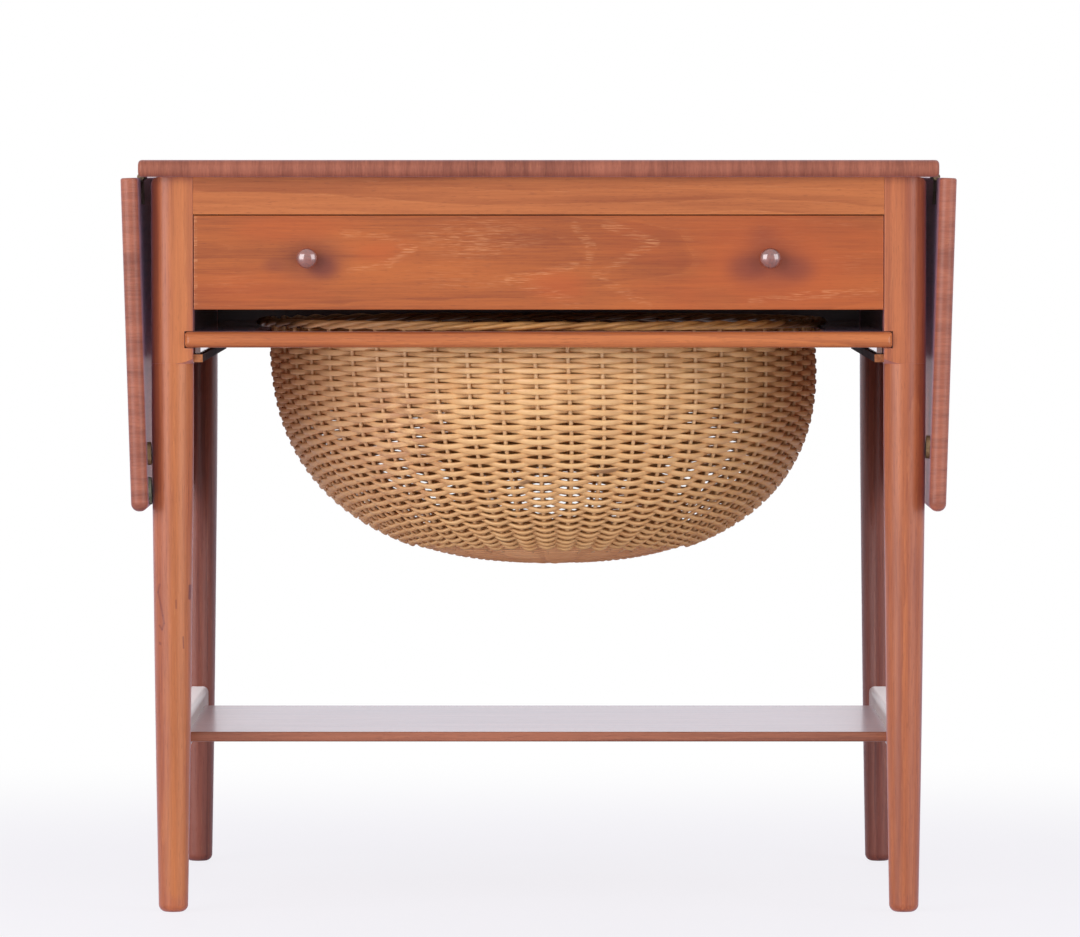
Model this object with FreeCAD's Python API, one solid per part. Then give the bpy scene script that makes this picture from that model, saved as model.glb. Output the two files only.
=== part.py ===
import FreeCAD, Part
import math
import os

# Drop-leaf sewing table in teak with one drawer, a sliding basket tray and a low shelf.
# Millimetres. X runs to the right along the front, Y to the back, Z up.
# The origin is on the floor under the middle of the table. The leaves hang down.

Vector = FreeCAD.Vector
centre = Vector(0, 0, 0)
along_x = Vector(1, 0, 0)
along_y = Vector(0, 1, 0)
along_z = Vector(0, 0, 1)

# Top board and leaves
table_height = 603.0
board_thick = 13.6
board_nose = 6.4
board_arris = 1.8
top_end_round = 3.2
overhang_side = 9.4
overhang_front = 14.0
leaf_width = 266.5
leaf_gap = 1.0
leaf_corner = 7.0

# Legs
leg_side = 34.0
leg_corner = 16.4
leg_top_round = 6.0
leg_arris = 0.8
leg_flare = 4.3
foot_diameter = 23.6
foot_round = 6.0
# Shaft outline above the foot: share of the shaft's height, share of the block's width
shaft_shares = ((0.20, 0.780), (0.35, 0.838), (0.57, 0.908), (0.77, 0.968), (0.99, 0.998))

# Rails and aprons round the top
apron_thick = 18.0
front_rail_high = 29.9
front_rail_thick = 20.0
tenon_thick = 8.0
tenon_long = 15.0
tenon_shoulder = 8.0
cleat_wide = 20.0

# Drawer
drawer_front_high = 75.3
drawer_front_thick = 18.0
drawer_top_gap = 0.8
drawer_side_thick = 13.0
drawer_side_drop = 11.0
drawer_side_rise = 4.0
drawer_back_thick = 12.0
drawer_back_set = 6.0
drawer_back_space = 36.0
drawer_bottom_thick = 5.0
drawer_bottom_rise = 4.0
panel_groove = 5.0
housing_deep = 3.0
tail_count = 4
tail_deep = 12.0
tail_wide_share = 0.76
tail_narrow_share = 0.54
divider_thick = 8.0
divider_high = 40.0
divider_count = 3
divider_space = 140.0
knob_inset = 90.7
knob_height_share = 0.547
knob_diameter = 16.6
knob_neck_diameter = 9.0
knob_reach = 14.6
knob_rim_share = 0.66
knob_hollow_share = 0.28
knob_bead_out_share = 0.82
knob_bead_high_share = 0.853
knob_hollow_depth_share = 0.12
knob_spigot_diameter = 6.0
knob_spigot_long = 12.0
drawer_runner_wide = 7.0
drawer_runner_high = 10.0
drawer_runner_set = 3.0

# Sliding tray and its runners
side_gap = 0.5
slide_gap = 0.3
tray_space = 17.7
tray_rail_high = 12.6
tray_rail_deep = 31.0
tray_nose_reach = 5.0
tray_nose_round = 5.5
tray_nose_limit_share = 0.45
tray_end_round = 4.0
tray_end_arris = 2.4
tray_horn_long = 6.4
tray_horn_deep = 12.0
tray_side_wide = 46.7
tray_lip_wide = 4.5
tray_lip_high = 5.2
tray_rear_wide = 22.0
tray_back_space = 28.0
tray_tongue_long = 8.0
tray_tongue_thick = 5.0
notch_gap = 0.5
tray_runner_wide = 7.5
tray_runner_high = 6.2
tray_runner_drop = 3.0
tray_runner_set = 4.0
tray_runner_back_gap = 1.0

# Basket
basket_radius = 227.0
basket_clear = 2.0
basket_deep = 197.7
basket_straight = 20.7
basket_wall = 7.0
basket_power = 2.45
basket_outline_steps = 8
border_wide = 15.0
border_lip = 9.0
border_high = 7.8
border_round = 3.2

# Stretchers and shelf
stretcher_thick = 18.0
stretcher_high = 25.0
stretcher_rise = 126.0
stretcher_round = 5.0
stretcher_tenon_long = 9.0
stretcher_shoulder = 5.0
shelf_thick = 8.0
shelf_depth = 350.0
shelf_rise = 5.0
shelf_housing = 5.0
shelf_round = 1.6

# Leaf hinges
hinge_long = 60.0
hinge_wide = 22.0
hinge_thick = 1.6
hinge_inset = 90.0
hinge_knuckles = 5
knuckle_diameter = 5.6
knuckle_clear = 0.5
knuckle_play = 0.3
hinge_pin_diameter = 2.5
pin_fit = 0.05
recess_fit = 0.2

# Prop arms
prop_drop = 100.0
prop_long = 150.0
prop_wide = 10.0
prop_thick = 6.0
prop_stand = 8.0
prop_plate_thick = 2.2
prop_plate_high = 40.0
prop_plate_wide = 26.0
prop_ear_thick = 2.0
prop_ear_gap = 0.15
prop_ear_radius = 6.0
prop_pin_diameter = 4.0
prop_pin_head = 7.0
prop_pin_head_thick = 1.2
prop_seat_gap = 0.3
stop_thick = 1.6
stop_wide = 12.0
stop_long = 34.0
stop_clear = 5.3

# Bumpers and felt pad on the leaves
bumper_diameter = 18.5
bumper_thick = 3.0
bumper_edge = 45.0
bumper_rise_right = 5.0
bumper_round = 0.8
contact_gap = 0.3
felt_diameter = 22.0
felt_thick = 2.2
felt_edge = 15.0

# Screws
screw_head = 4.8
screw_head_thick = 1.3
screw_shank = 3.0
screw_slot_wide = 0.8
screw_slot_deep = 0.5
screw_fit = 0.05
screw_sink = 0.4
hinge_screw_long = 10.0
runner_screw_long = 16.0
top_screw_long = 30.0
top_screw_sink = 6.0
bracket_screw_long = 13.0
bottom_screw_long = 16.0
stop_screw_long = 9.0
screw_end_share = 0.12

# Overrun of cuts, and how far two levels may differ and still count as one
overrun = 5.0
level_fit = 0.05

# Levels, from the top down
under_top = table_height - board_thick
drawer_top = under_top - front_rail_high - drawer_top_gap
drawer_base = drawer_top - drawer_front_high
tray_top = drawer_base - tray_space
tray_base = tray_top - tray_rail_high
runner_top = tray_base - tray_lip_high - slide_gap
runner_base = runner_top - tray_runner_high
block_base = runner_base + tray_runner_drop
neck_level = block_base - leg_flare

# Plan, from the basket outwards
opening_half = basket_radius + basket_clear
inner_x = opening_half + tray_side_wide + side_gap
tray_x = inner_x - side_gap
leg_x = inner_x + leg_side / 2
outer_x = inner_x + leg_side
top_x = outer_x + overhang_side
frame_depth = tray_rail_deep - tray_nose_reach + 2 * opening_half + tray_rear_wide
frame_depth = frame_depth + tray_back_space + apron_thick
leg_front_y = -frame_depth / 2
leg_y = frame_depth / 2 - leg_side / 2
top_y = frame_depth / 2 + overhang_front
rear_apron_y = frame_depth / 2 - apron_thick
leg_inner_y = frame_depth / 2 - leg_side
tray_front_y = leg_front_y - tray_nose_reach
tray_frame_y = tray_front_y + tray_rail_deep
tray_rear_y = tray_frame_y + 2 * opening_half
tray_end_y = tray_rear_y + tray_rear_wide
basket_y = tray_frame_y + opening_half

# Hinge line of the right leaf
hinge_x = top_x + leaf_gap / 2

pieces = {}


def block(x0, x1, y0, y1, z0, z1):
    """Rectangular block between two opposite corners."""
    return Part.makeBox(x1 - x0, y1 - y0, z1 - z0, Vector(x0, y0, z0))


def rod(radius, start, end):
    """Round rod from one point to another."""
    run = end.sub(start)
    return Part.makeCylinder(radius, run.Length, start, run)


def revolve(edges, axis_point):
    """Solid of revolution about a vertical axis from edges that close a flat outline."""
    face = Part.Face(Part.Wire(edges))
    return face.revolve(axis_point, along_z, 360)


def line(start, end):
    """Straight edge."""
    return Part.LineSegment(start, end).toShape()


def curve_through(points, start_slope, end_slope):
    """Smooth edge through points with the given end directions."""
    curve = Part.BSplineCurve()
    curve.interpolate(Points=points, InitialTangent=start_slope, FinalTangent=end_slope)
    return curve


def mirror_x(shape):
    """The same piece on the other side of the table."""
    return shape.mirror(centre, along_x)


def mirror_y(shape):
    """The same piece at the other end of the table."""
    return shape.mirror(centre, along_y)


def pair(name, right_shape):
    """A piece of the right side and its mirror image on the left."""
    pieces[name + "_right"] = right_shape
    pieces[name + "_left"] = mirror_x(right_shape)


def round_edges(shape, radius, wanted):
    """Round the edges that a test picks."""
    edges = [edge for edge in shape.Edges if wanted(edge)]
    return shape.makeFillet(radius, edges)


def spans(edge, axis):
    """Length of an edge's box along one axis, as an index."""
    box = edge.BoundBox
    return (box.XLength, box.YLength, box.ZLength)[axis]


def is_upright(edge):
    """True for a straight edge along Z."""
    return abs(spans(edge, 2) - edge.Length) < level_fit


def board(x0, x1, y0, y1, z0, z1, nose, corner):
    """Board with rounded front, back and right edges; corner rounds its right corners in plan."""
    slab = block(x0, x1, y0, y1, z0, z1)
    if corner > 0:
        slab = round_edges(slab, corner, lambda e: is_upright(e) and e.BoundBox.XMin > x1 - corner)
    lengthways = [e for e in slab.Edges if spans(e, 2) < level_fit]
    if corner > 0:
        nosed = [e for e in lengthways if e.BoundBox.XMax > x0 + corner]
    else:
        nosed = [e for e in lengthways if spans(e, 1) < level_fit]
    return slab.makeFillet(nose, nosed)


def soften_end(shape, end_x, radius):
    """Small rounding all round a board's end face at one X."""
    return round_edges(shape, radius, lambda e: abs(e.BoundBox.XMin - end_x) < level_fit
                       and abs(e.BoundBox.XMax - end_x) < level_fit)


def screw(at, direction, length):
    """Wood screw with its head's face at a point, pointing along a unit direction."""
    head = Part.makeCylinder(screw_head / 2, screw_head_thick, at, direction)
    shank = Part.makeCylinder(screw_shank / 2, length, at, direction)
    across = along_y if abs(direction.y) < abs(direction.z) + abs(direction.x) else along_x
    other = direction.cross(across)
    corner = at - across * (screw_head / 2) - other * (screw_slot_wide / 2)
    slot = Part.makePolygon([
        corner, corner + across * screw_head, corner + across * screw_head + other * screw_slot_wide,
        corner + other * screw_slot_wide, corner])
    slot = Part.Face(slot).extrude(direction * screw_slot_deep)
    return head.fuse(shank).cut(slot)


def screw_hole(at, direction, length, sink):
    """Hole for a screw, with the room in front of its head."""
    mouth = at - direction * sink
    head = Part.makeCylinder(screw_head / 2 + screw_fit, screw_head_thick + sink, mouth, direction)
    shank = Part.makeCylinder(screw_shank / 2 + screw_fit, length + screw_fit, at, direction)
    return head.fuse(shank)


def screws(places, direction, length):
    """Separate screws at a list of points."""
    return [screw(place, direction, length) for place in places]


def drill(shape, places, direction, length, sink):
    """Cut the holes for screws at a list of points."""
    return shape.cut([screw_hole(place, direction, length, sink) for place in places])


def evenly(start, end, count):
    """Places from start to end, both ends kept clear by the end share."""
    margin = (end - start) * screw_end_share
    step = (end - start - 2 * margin) / (count - 1)
    return [start + margin + step * index for index in range(count)]


# Outline of a leg's turned shaft
foot_radius = foot_diameter / 2
shaft_points = [Vector(foot_radius, 0, foot_round)]
shaft_points += [Vector(wide * leg_side / 2, 0, high * neck_level) for high, wide in shaft_shares[:-1]]
neck_radius = shaft_shares[-1][1] * leg_side / 2
shaft_points += [Vector(neck_radius, 0, neck_level)]
shaft_curve = Part.BSplineCurve()
shaft_curve.interpolate(shaft_points)


def shaft_radius(level):
    """Radius of a leg's shaft at a height, read from its outline."""
    return shaft_curve.value(shaft_curve.parameter(Vector(leg_side / 2, 0, level))).x


def leg_form():
    """Right rear leg before its mortises: square block, short flare and turned shaft."""
    turn_centre = Vector(foot_radius - foot_round, 0, foot_round)
    turn_mid = turn_centre + Vector(math.sin(math.pi / 4), 0, -math.sin(math.pi / 4)) * foot_round
    outline = [
        line(centre, Vector(turn_centre.x, 0, 0)),
        Part.Arc(Vector(turn_centre.x, 0, 0), turn_mid, shaft_points[0]).toShape(),
        shaft_curve.toShape(),
        line(shaft_points[-1], Vector(0, 0, neck_level)),
        line(Vector(0, 0, neck_level), centre)]
    shaft = revolve(outline, centre)
    half = leg_side / 2
    prism = block(-half, half, -half, half, neck_level, under_top)
    prism = round_edges(prism, leg_corner, lambda e: is_upright(e)
                        and min(e.BoundBox.XMin, e.BoundBox.YMin) > 0)
    prism = round_edges(prism, leg_arris, lambda e: is_upright(e)
                        and e.BoundBox.XMin * e.BoundBox.YMin < -half)
    wide_end = half * math.sqrt(2) + leg_arris
    flare = Part.makeCone(neck_radius, wide_end, leg_flare, Vector(0, 0, neck_level))
    upper = block(-leg_side, leg_side, -leg_side, leg_side, block_base, under_top)
    eased_x = half - leg_top_round
    eased_z = under_top - leg_top_round
    waste = block(eased_x, leg_side, -leg_side, leg_side, eased_z, under_top + overrun)
    easing = rod(leg_top_round, Vector(eased_x, -leg_side, eased_z), Vector(eased_x, leg_side, eased_z))
    waste = waste.cut(easing)
    head = prism.common(flare.fuse(upper)).cut(waste)
    form = shaft.fuse(head).removeSplitter()
    form.translate(Vector(leg_x, leg_y, 0))
    return form


def tenon_box(x0, x1, y0, y1, z0, z1):
    """Tenon and the mortise that it fills."""
    return block(x0, x1, y0, y1, z0 + tenon_shoulder, z1 - tenon_shoulder)


def side_tenons():
    """Tenons of the right side apron, front and rear."""
    mid = inner_x + apron_thick / 2
    x0 = mid - tenon_thick / 2
    x1 = mid + tenon_thick / 2
    rear = tenon_box(x0, x1, leg_inner_y, leg_inner_y + tenon_long, block_base, under_top)
    return mirror_y(rear), rear


def front_rail_tenon():
    """Right tenon of the front rail."""
    mid = leg_front_y + front_rail_thick / 2
    return tenon_box(inner_x, inner_x + tenon_long, mid - tenon_thick / 2, mid + tenon_thick / 2,
                     under_top - front_rail_high, under_top)


def rear_apron_tenon():
    """Right tenon of the rear apron."""
    mid = rear_apron_y + apron_thick / 2
    return tenon_box(inner_x, inner_x + tenon_long, mid - tenon_thick / 2, mid + tenon_thick / 2,
                     block_base, under_top)


def stretcher_tenon():
    """Rear tenon of the right stretcher."""
    shoulder_y = leg_y - shaft_radius(stretcher_rise + stretcher_high)
    return block(leg_x - tenon_thick / 2, leg_x + tenon_thick / 2, shoulder_y - overrun,
                 shoulder_y + stretcher_tenon_long, stretcher_rise + stretcher_shoulder,
                 stretcher_rise + stretcher_high - stretcher_shoulder)


def make_legs():
    """Four legs with their mortises; the front pair is notched for the tray rail."""
    front_tenon, rear_tenon = side_tenons()
    form = leg_form()
    rear = form.cut([rear_tenon, rear_apron_tenon(), stretcher_tenon()])
    pair("rear_leg", rear)
    notch = block(inner_x - overrun, inner_x + tray_horn_long + notch_gap, tray_front_y - overrun,
                  leg_front_y + tray_horn_deep + notch_gap, tray_base - notch_gap, tray_top + notch_gap)
    front = mirror_y(form).cut([front_tenon, front_rail_tenon(), mirror_y(stretcher_tenon()), notch])
    pair("front_leg", front)


def make_frame():
    """Front rail, aprons and top cleats."""
    rail = block(-inner_x, inner_x, leg_front_y, leg_front_y + front_rail_thick,
                 under_top - front_rail_high, under_top)
    tenon = front_rail_tenon()
    pieces["front_rail"] = rail.fuse([tenon, mirror_x(tenon)]).removeSplitter()
    rear = block(-inner_x, inner_x, rear_apron_y, rear_apron_y + apron_thick, block_base, under_top)
    tenon = rear_apron_tenon()
    pieces["rear_apron"] = rear.fuse([tenon, mirror_x(tenon)]).removeSplitter()
    side = block(inner_x, inner_x + apron_thick, -leg_inner_y, leg_inner_y, runner_base, under_top)
    side = side.fuse(list(side_tenons())).removeSplitter()
    runner_places = drawer_runner_screws() + tray_runner_screws()
    side = drill(side, runner_places, along_x, runner_screw_long, screw_sink)
    side = drill(side, bracket_screws(), along_x * -1, bracket_screw_long, screw_sink)
    pair("side_apron", side)
    cleat = block(inner_x - cleat_wide, inner_x, leg_front_y + front_rail_thick, rear_apron_y,
                  under_top - front_rail_high, under_top)
    cleat = drill(cleat, top_screws(), along_z, top_screw_long, top_screw_sink)
    pair("top_cleat", cleat)


def top_screws():
    """Heads of the screws that hold the top on the right cleat."""
    x = inner_x - cleat_wide / 2
    z = under_top - front_rail_high + top_screw_sink
    return [Vector(x, y, z) for y in evenly(-leg_inner_y, leg_inner_y, 3)]


def drawer_runner_level():
    """Middle height of the drawer runners, at mid-height of the drawer sides."""
    return (drawer_base + drawer_side_rise + drawer_top - drawer_side_drop) / 2


def drawer_runner_screws():
    """Heads of the screws in the right drawer runner."""
    x = inner_x - drawer_runner_wide + screw_sink
    reach = leg_inner_y - drawer_runner_set
    return [Vector(x, y, drawer_runner_level()) for y in evenly(-reach, reach, 3)]


def tray_runner_screws():
    """Heads of the screws in the right tray runner."""
    x = inner_x - tray_runner_wide + screw_sink
    z = (runner_base + runner_top) / 2
    return [Vector(x, y, z) for y in evenly(-leg_inner_y, leg_inner_y, 3)]


def make_runners():
    """Drawer and tray runners, and all their screws."""
    level = drawer_runner_level()
    reach = leg_inner_y - drawer_runner_set
    strip = block(inner_x - drawer_runner_wide, inner_x, -reach, reach,
                  level - drawer_runner_high / 2, level + drawer_runner_high / 2)
    strip = drill(strip, drawer_runner_screws(), along_x, runner_screw_long, screw_sink)
    pair("drawer_runner", strip)
    start_y = leg_front_y + tray_runner_set
    end_y = rear_apron_y - tray_runner_back_gap
    strip = block(inner_x - tray_runner_wide, inner_x, start_y, end_y, runner_base, runner_top)
    strip = drill(strip, tray_runner_screws(), along_x, runner_screw_long, screw_sink)
    pair("tray_runner", strip)
    one_side = screws(drawer_runner_screws() + tray_runner_screws(), along_x, runner_screw_long)
    pieces["runner_screws"] = Part.makeCompound(one_side + [mirror_x(s) for s in one_side])


def tails():
    """Dovetails at the front of the right drawer side, which fill the drawer front's sockets."""
    side_base = drawer_base + drawer_side_rise
    pitch = (drawer_top - drawer_side_drop - side_base) / tail_count
    y1 = leg_front_y + drawer_front_thick
    y0 = y1 - tail_deep
    x0 = tray_x - drawer_side_thick
    made = []
    for index in range(tail_count):
        mid = side_base + pitch * (index + 0.5)
        wide = pitch * tail_wide_share / 2
        narrow = pitch * tail_narrow_share / 2
        outline = Part.makePolygon([
            Vector(x0, y1, mid - narrow), Vector(x0, y0, mid - wide), Vector(x0, y0, mid + wide),
            Vector(x0, y1, mid + narrow), Vector(x0, y1, mid - narrow)])
        made.append(Part.Face(outline).extrude(along_x * drawer_side_thick))
    return made


def knob_seat():
    """Middle of the right knob on the drawer front's face."""
    return Vector(tray_x - knob_inset, leg_front_y, drawer_base + drawer_front_high * knob_height_share)


def knob():
    """Right knob: turned head and neck with a spigot in the drawer front."""
    neck = knob_neck_diameter / 2
    head = knob_diameter / 2
    rim = Vector(head, 0, knob_reach * knob_rim_share)
    hollow = Vector(neck, 0, knob_reach * knob_hollow_share)
    hollow_mid = (hollow + rim) / 2 + Vector(-neck, 0, neck) * knob_hollow_depth_share
    crown = Vector(0, 0, knob_reach)
    bead = Vector(head * knob_bead_out_share, 0, knob_reach * knob_bead_high_share)
    spigot = knob_spigot_diameter / 2
    outline = [
        line(Vector(0, 0, -knob_spigot_long), Vector(spigot, 0, -knob_spigot_long)),
        line(Vector(spigot, 0, -knob_spigot_long), Vector(spigot, 0, 0)),
        line(Vector(spigot, 0, 0), Vector(neck, 0, 0)),
        line(Vector(neck, 0, 0), hollow),
        Part.Arc(hollow, hollow_mid, rim).toShape(),
        curve_through([rim, bead, crown], along_z, along_x * -1).toShape(),
        line(crown, Vector(0, 0, -knob_spigot_long))]
    turned = revolve(outline, centre)
    turned.rotate(centre, along_x, 90)
    turned.translate(knob_seat())
    return turned


def make_drawer():
    """Drawer box, its dividers and its knobs."""
    inside_x = tray_x - drawer_side_thick
    back_face = leg_front_y + drawer_front_thick
    end_y = rear_apron_y - drawer_back_space
    side_base = drawer_base + drawer_side_rise
    side_top = drawer_top - drawer_side_drop
    panel_base = side_base + drawer_bottom_rise
    panel_top = panel_base + drawer_bottom_thick
    cut_tails = tails()

    face = block(-tray_x, tray_x, leg_front_y, back_face, drawer_base, drawer_top)
    face = round_edges(face, leg_arris, lambda e: abs(e.BoundBox.YMax - leg_front_y) < level_fit)
    groove = block(-inside_x, inside_x, back_face - panel_groove, back_face + overrun, panel_base, panel_top)
    knob_right = knob()
    spigot = rod(knob_spigot_diameter / 2 + screw_fit, Vector(0, -overrun, 0), Vector(0, knob_spigot_long, 0))
    spigot.translate(knob_seat())
    face = face.cut(cut_tails + [mirror_x(tail) for tail in cut_tails] + [groove, spigot, mirror_x(spigot)])
    pieces["drawer_front"] = face
    pair("knob", knob_right)

    level = drawer_runner_level()
    groove_x = inner_x - drawer_runner_wide - slide_gap
    reach = leg_inner_y - drawer_runner_set + slide_gap
    side = block(inside_x, tray_x, back_face, end_y, side_base, side_top)
    track = block(groove_x, inner_x + overrun, -reach, end_y + overrun,
                  level - drawer_runner_high / 2 - slide_gap, level + drawer_runner_high / 2 + slide_gap)
    panel_track = block(inside_x - overrun, inside_x + panel_groove, back_face - overrun, end_y + overrun,
                        panel_base, panel_top)
    back_y = end_y - drawer_back_set - drawer_back_thick
    divide_y = back_face + divider_space
    housings = [
        block(inside_x - overrun, inside_x + housing_deep, back_y, back_y + drawer_back_thick,
              panel_top, side_top + overrun),
        block(inside_x - overrun, inside_x + housing_deep, divide_y, divide_y + divider_thick,
              panel_top, panel_top + divider_high)]
    side = side.cut([track, panel_track] + housings).fuse(cut_tails).removeSplitter()
    pair("drawer_side", side)

    reach_x = inside_x + panel_groove
    bottom = block(-reach_x, reach_x, back_face, end_y, panel_base, panel_top)
    tongue = block(-inside_x, inside_x, back_face - panel_groove, back_face, panel_base, panel_top)
    bottom = bottom.fuse(tongue).removeSplitter()
    screw_y = back_y + drawer_back_thick / 2
    places = [Vector(x, screw_y, panel_base) for x in evenly(-inside_x, inside_x, 3)]
    pieces["drawer_bottom"] = drill(bottom, places, along_z, bottom_screw_long, screw_sink)
    pieces["drawer_bottom_screws"] = Part.makeCompound(screws(places, along_z, bottom_screw_long))
    housed_x = inside_x + housing_deep
    back = block(-housed_x, housed_x, back_y, back_y + drawer_back_thick, panel_top, side_top)
    pieces["drawer_back"] = drill(back, places, along_z, bottom_screw_long, screw_sink)
    pieces["drawer_divider_long"] = block(-housed_x, housed_x, divide_y, divide_y + divider_thick,
                                          panel_top, panel_top + divider_high)
    step = 2 * inside_x / (divider_count + 1)
    short = []
    for index in range(divider_count):
        mid = -inside_x + step * (index + 1)
        short.append(block(mid - divider_thick / 2, mid + divider_thick / 2, back_face, divide_y,
                           panel_top, panel_top + divider_high))
    pieces["drawer_dividers_short"] = Part.makeCompound(short)


def make_tray():
    """Frame that carries the basket and slides on the tray runners."""
    horn_x = inner_x + tray_horn_long
    horn_back = leg_front_y + tray_horn_deep
    nose = min(tray_nose_round, tray_rail_high * tray_nose_limit_share)
    bar = block(-horn_x, horn_x, tray_front_y, horn_back, tray_base, tray_top)
    nosed = round_edges(bar, nose, lambda e: spans(e, 0) > horn_x and e.BoundBox.YMax < horn_back - nose)
    slab = round_edges(bar, tray_end_round, lambda e: is_upright(e) and e.BoundBox.YMax < horn_back - nose)
    slab = round_edges(slab, tray_end_arris, lambda e: spans(e, 2) < level_fit
                       and e.BoundBox.YMin < horn_back - nose)
    slab = slab.common(nosed)
    body = block(-tray_x, tray_x, horn_back, tray_frame_y, tray_base, tray_top)
    tongue_base = (tray_base + tray_top - tray_tongue_thick) / 2
    tongue_top = tongue_base + tray_tongue_thick
    tongue_x = opening_half + tray_side_wide / 4
    side = block(opening_half, tray_x, tray_frame_y, tray_end_y, tray_base, tray_top)
    lip = block(tray_x - tray_lip_wide, tray_x, tray_frame_y, tray_end_y, runner_top + slide_gap, tray_base)
    side_tongue = block(tongue_x, tray_x - tray_side_wide / 4, tray_frame_y - tray_tongue_long, tray_frame_y,
                        tongue_base, tongue_top)
    rear_tongue = block(opening_half, opening_half + tray_tongue_long, tray_rear_y + tray_rear_wide / 4,
                        tray_end_y - tray_rear_wide / 4, tongue_base, tongue_top)
    front = slab.fuse(body).removeSplitter()
    pieces["tray_front_rail"] = front.cut([side_tongue, mirror_x(side_tongue)])
    pair("tray_side_rail", side.fuse([lip, side_tongue]).cut(rear_tongue).removeSplitter())
    rear = block(-opening_half, opening_half, tray_rear_y, tray_end_y, tray_base, tray_top)
    pieces["tray_rear_rail"] = rear.fuse([rear_tongue, mirror_x(rear_tongue)]).removeSplitter()


def bowl_outline(radius, deep):
    """Edge from the shoulder to the lowest point of a bowl: a superellipse in the XZ plane."""
    shoulder = tray_top - basket_straight
    points = []
    for index in range(basket_outline_steps + 1):
        turn = math.pi / 2 * index / basket_outline_steps
        out = radius * max(math.cos(turn), 0) ** (2 / basket_power)
        down = deep * max(math.sin(turn), 0) ** (2 / basket_power)
        points.append(Vector(out, 0, shoulder - down))
    points[-1].x = 0
    return curve_through(points, along_z * -1, along_x * -1), points


def make_basket():
    """Basket as a closed shell, and the border that lies on the tray frame."""
    deep = basket_deep - basket_straight
    outer, outer_points = bowl_outline(basket_radius, deep)
    inner, inner_points = bowl_outline(basket_radius - basket_wall, deep - basket_wall)
    rim_out = Vector(basket_radius, 0, tray_top)
    rim_in = Vector(basket_radius - basket_wall, 0, tray_top)
    outline = [
        line(rim_in, rim_out), line(rim_out, outer_points[0]), outer.toShape(),
        line(outer_points[-1], inner_points[-1]), inner.toShape(), line(inner_points[0], rim_in)]
    bowl = revolve(outline, centre)
    bowl.translate(Vector(0, basket_y, 0))
    pieces["basket_body"] = bowl
    outside = basket_radius + border_lip
    ring = rod(outside, Vector(0, basket_y, tray_top), Vector(0, basket_y, tray_top + border_high))
    bore = rod(outside - border_wide, Vector(0, basket_y, tray_top - overrun),
               Vector(0, basket_y, tray_top + border_high + overrun))
    ring = ring.cut(bore)
    ring = round_edges(ring, border_round, lambda e: e.BoundBox.ZMin > tray_top + border_round
                       and spans(e, 2) < level_fit)
    pieces["basket_border"] = ring


def make_base():
    """Stretchers between the feet and the shelf housed in them."""
    half = stretcher_thick / 2
    top = stretcher_rise + stretcher_high
    bar = block(leg_x - half, leg_x + half, -leg_y, leg_y, stretcher_rise, top)
    half_high = stretcher_rise + stretcher_high / 2
    bar = round_edges(bar, stretcher_round, lambda e: spans(e, 1) > leg_y and e.BoundBox.ZMin > half_high)
    form = leg_form()
    shelf_base = stretcher_rise + shelf_rise
    shelf_x = leg_x - half + shelf_housing
    shelf = block(-shelf_x, shelf_x, -shelf_depth / 2, shelf_depth / 2, shelf_base, shelf_base + shelf_thick)
    tenon = stretcher_tenon()
    bar = bar.cut([form, mirror_y(form), shelf])
    pair("stretcher", bar.fuse([tenon, mirror_y(tenon)]).removeSplitter())
    pieces["shelf"] = round_edges(shelf, shelf_round, lambda e: spans(e, 0) > shelf_x)


def rest_tilt():
    """Inward lean of a hanging leaf, in degrees, with its bumper on the leg."""
    along = leaf_width - bumper_edge
    level = under_top - along
    across = hinge_x - leg_x - shaft_radius(level)
    reach = math.hypot(across, along)
    return math.degrees(math.acos((bumper_thick + contact_gap) / reach) - math.atan2(along, across))


leaf_turn = 90 + rest_tilt()


def lower(shape):
    """Turn a raised right leaf, or what rides on it, down to rest."""
    turned = shape.copy()
    turned.rotate(Vector(hinge_x, 0, under_top), along_y, leaf_turn)
    return turned


def prop_turn():
    """Swing of a prop arm from hanging to its seat under the raised leaf, in degrees."""
    rise = prop_drop - prop_wide / 2 - prop_seat_gap
    return 90 + math.degrees(math.asin(rise / prop_long))


def stop_start():
    """Distance from the hinge line to the near edge of the stop plate on the leaf."""
    rise = prop_drop - prop_wide / 2 - prop_seat_gap
    reach = math.sqrt(prop_long ** 2 - rise ** 2)
    return inner_x + apron_thick + prop_stand + reach - hinge_x + stop_clear


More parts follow.
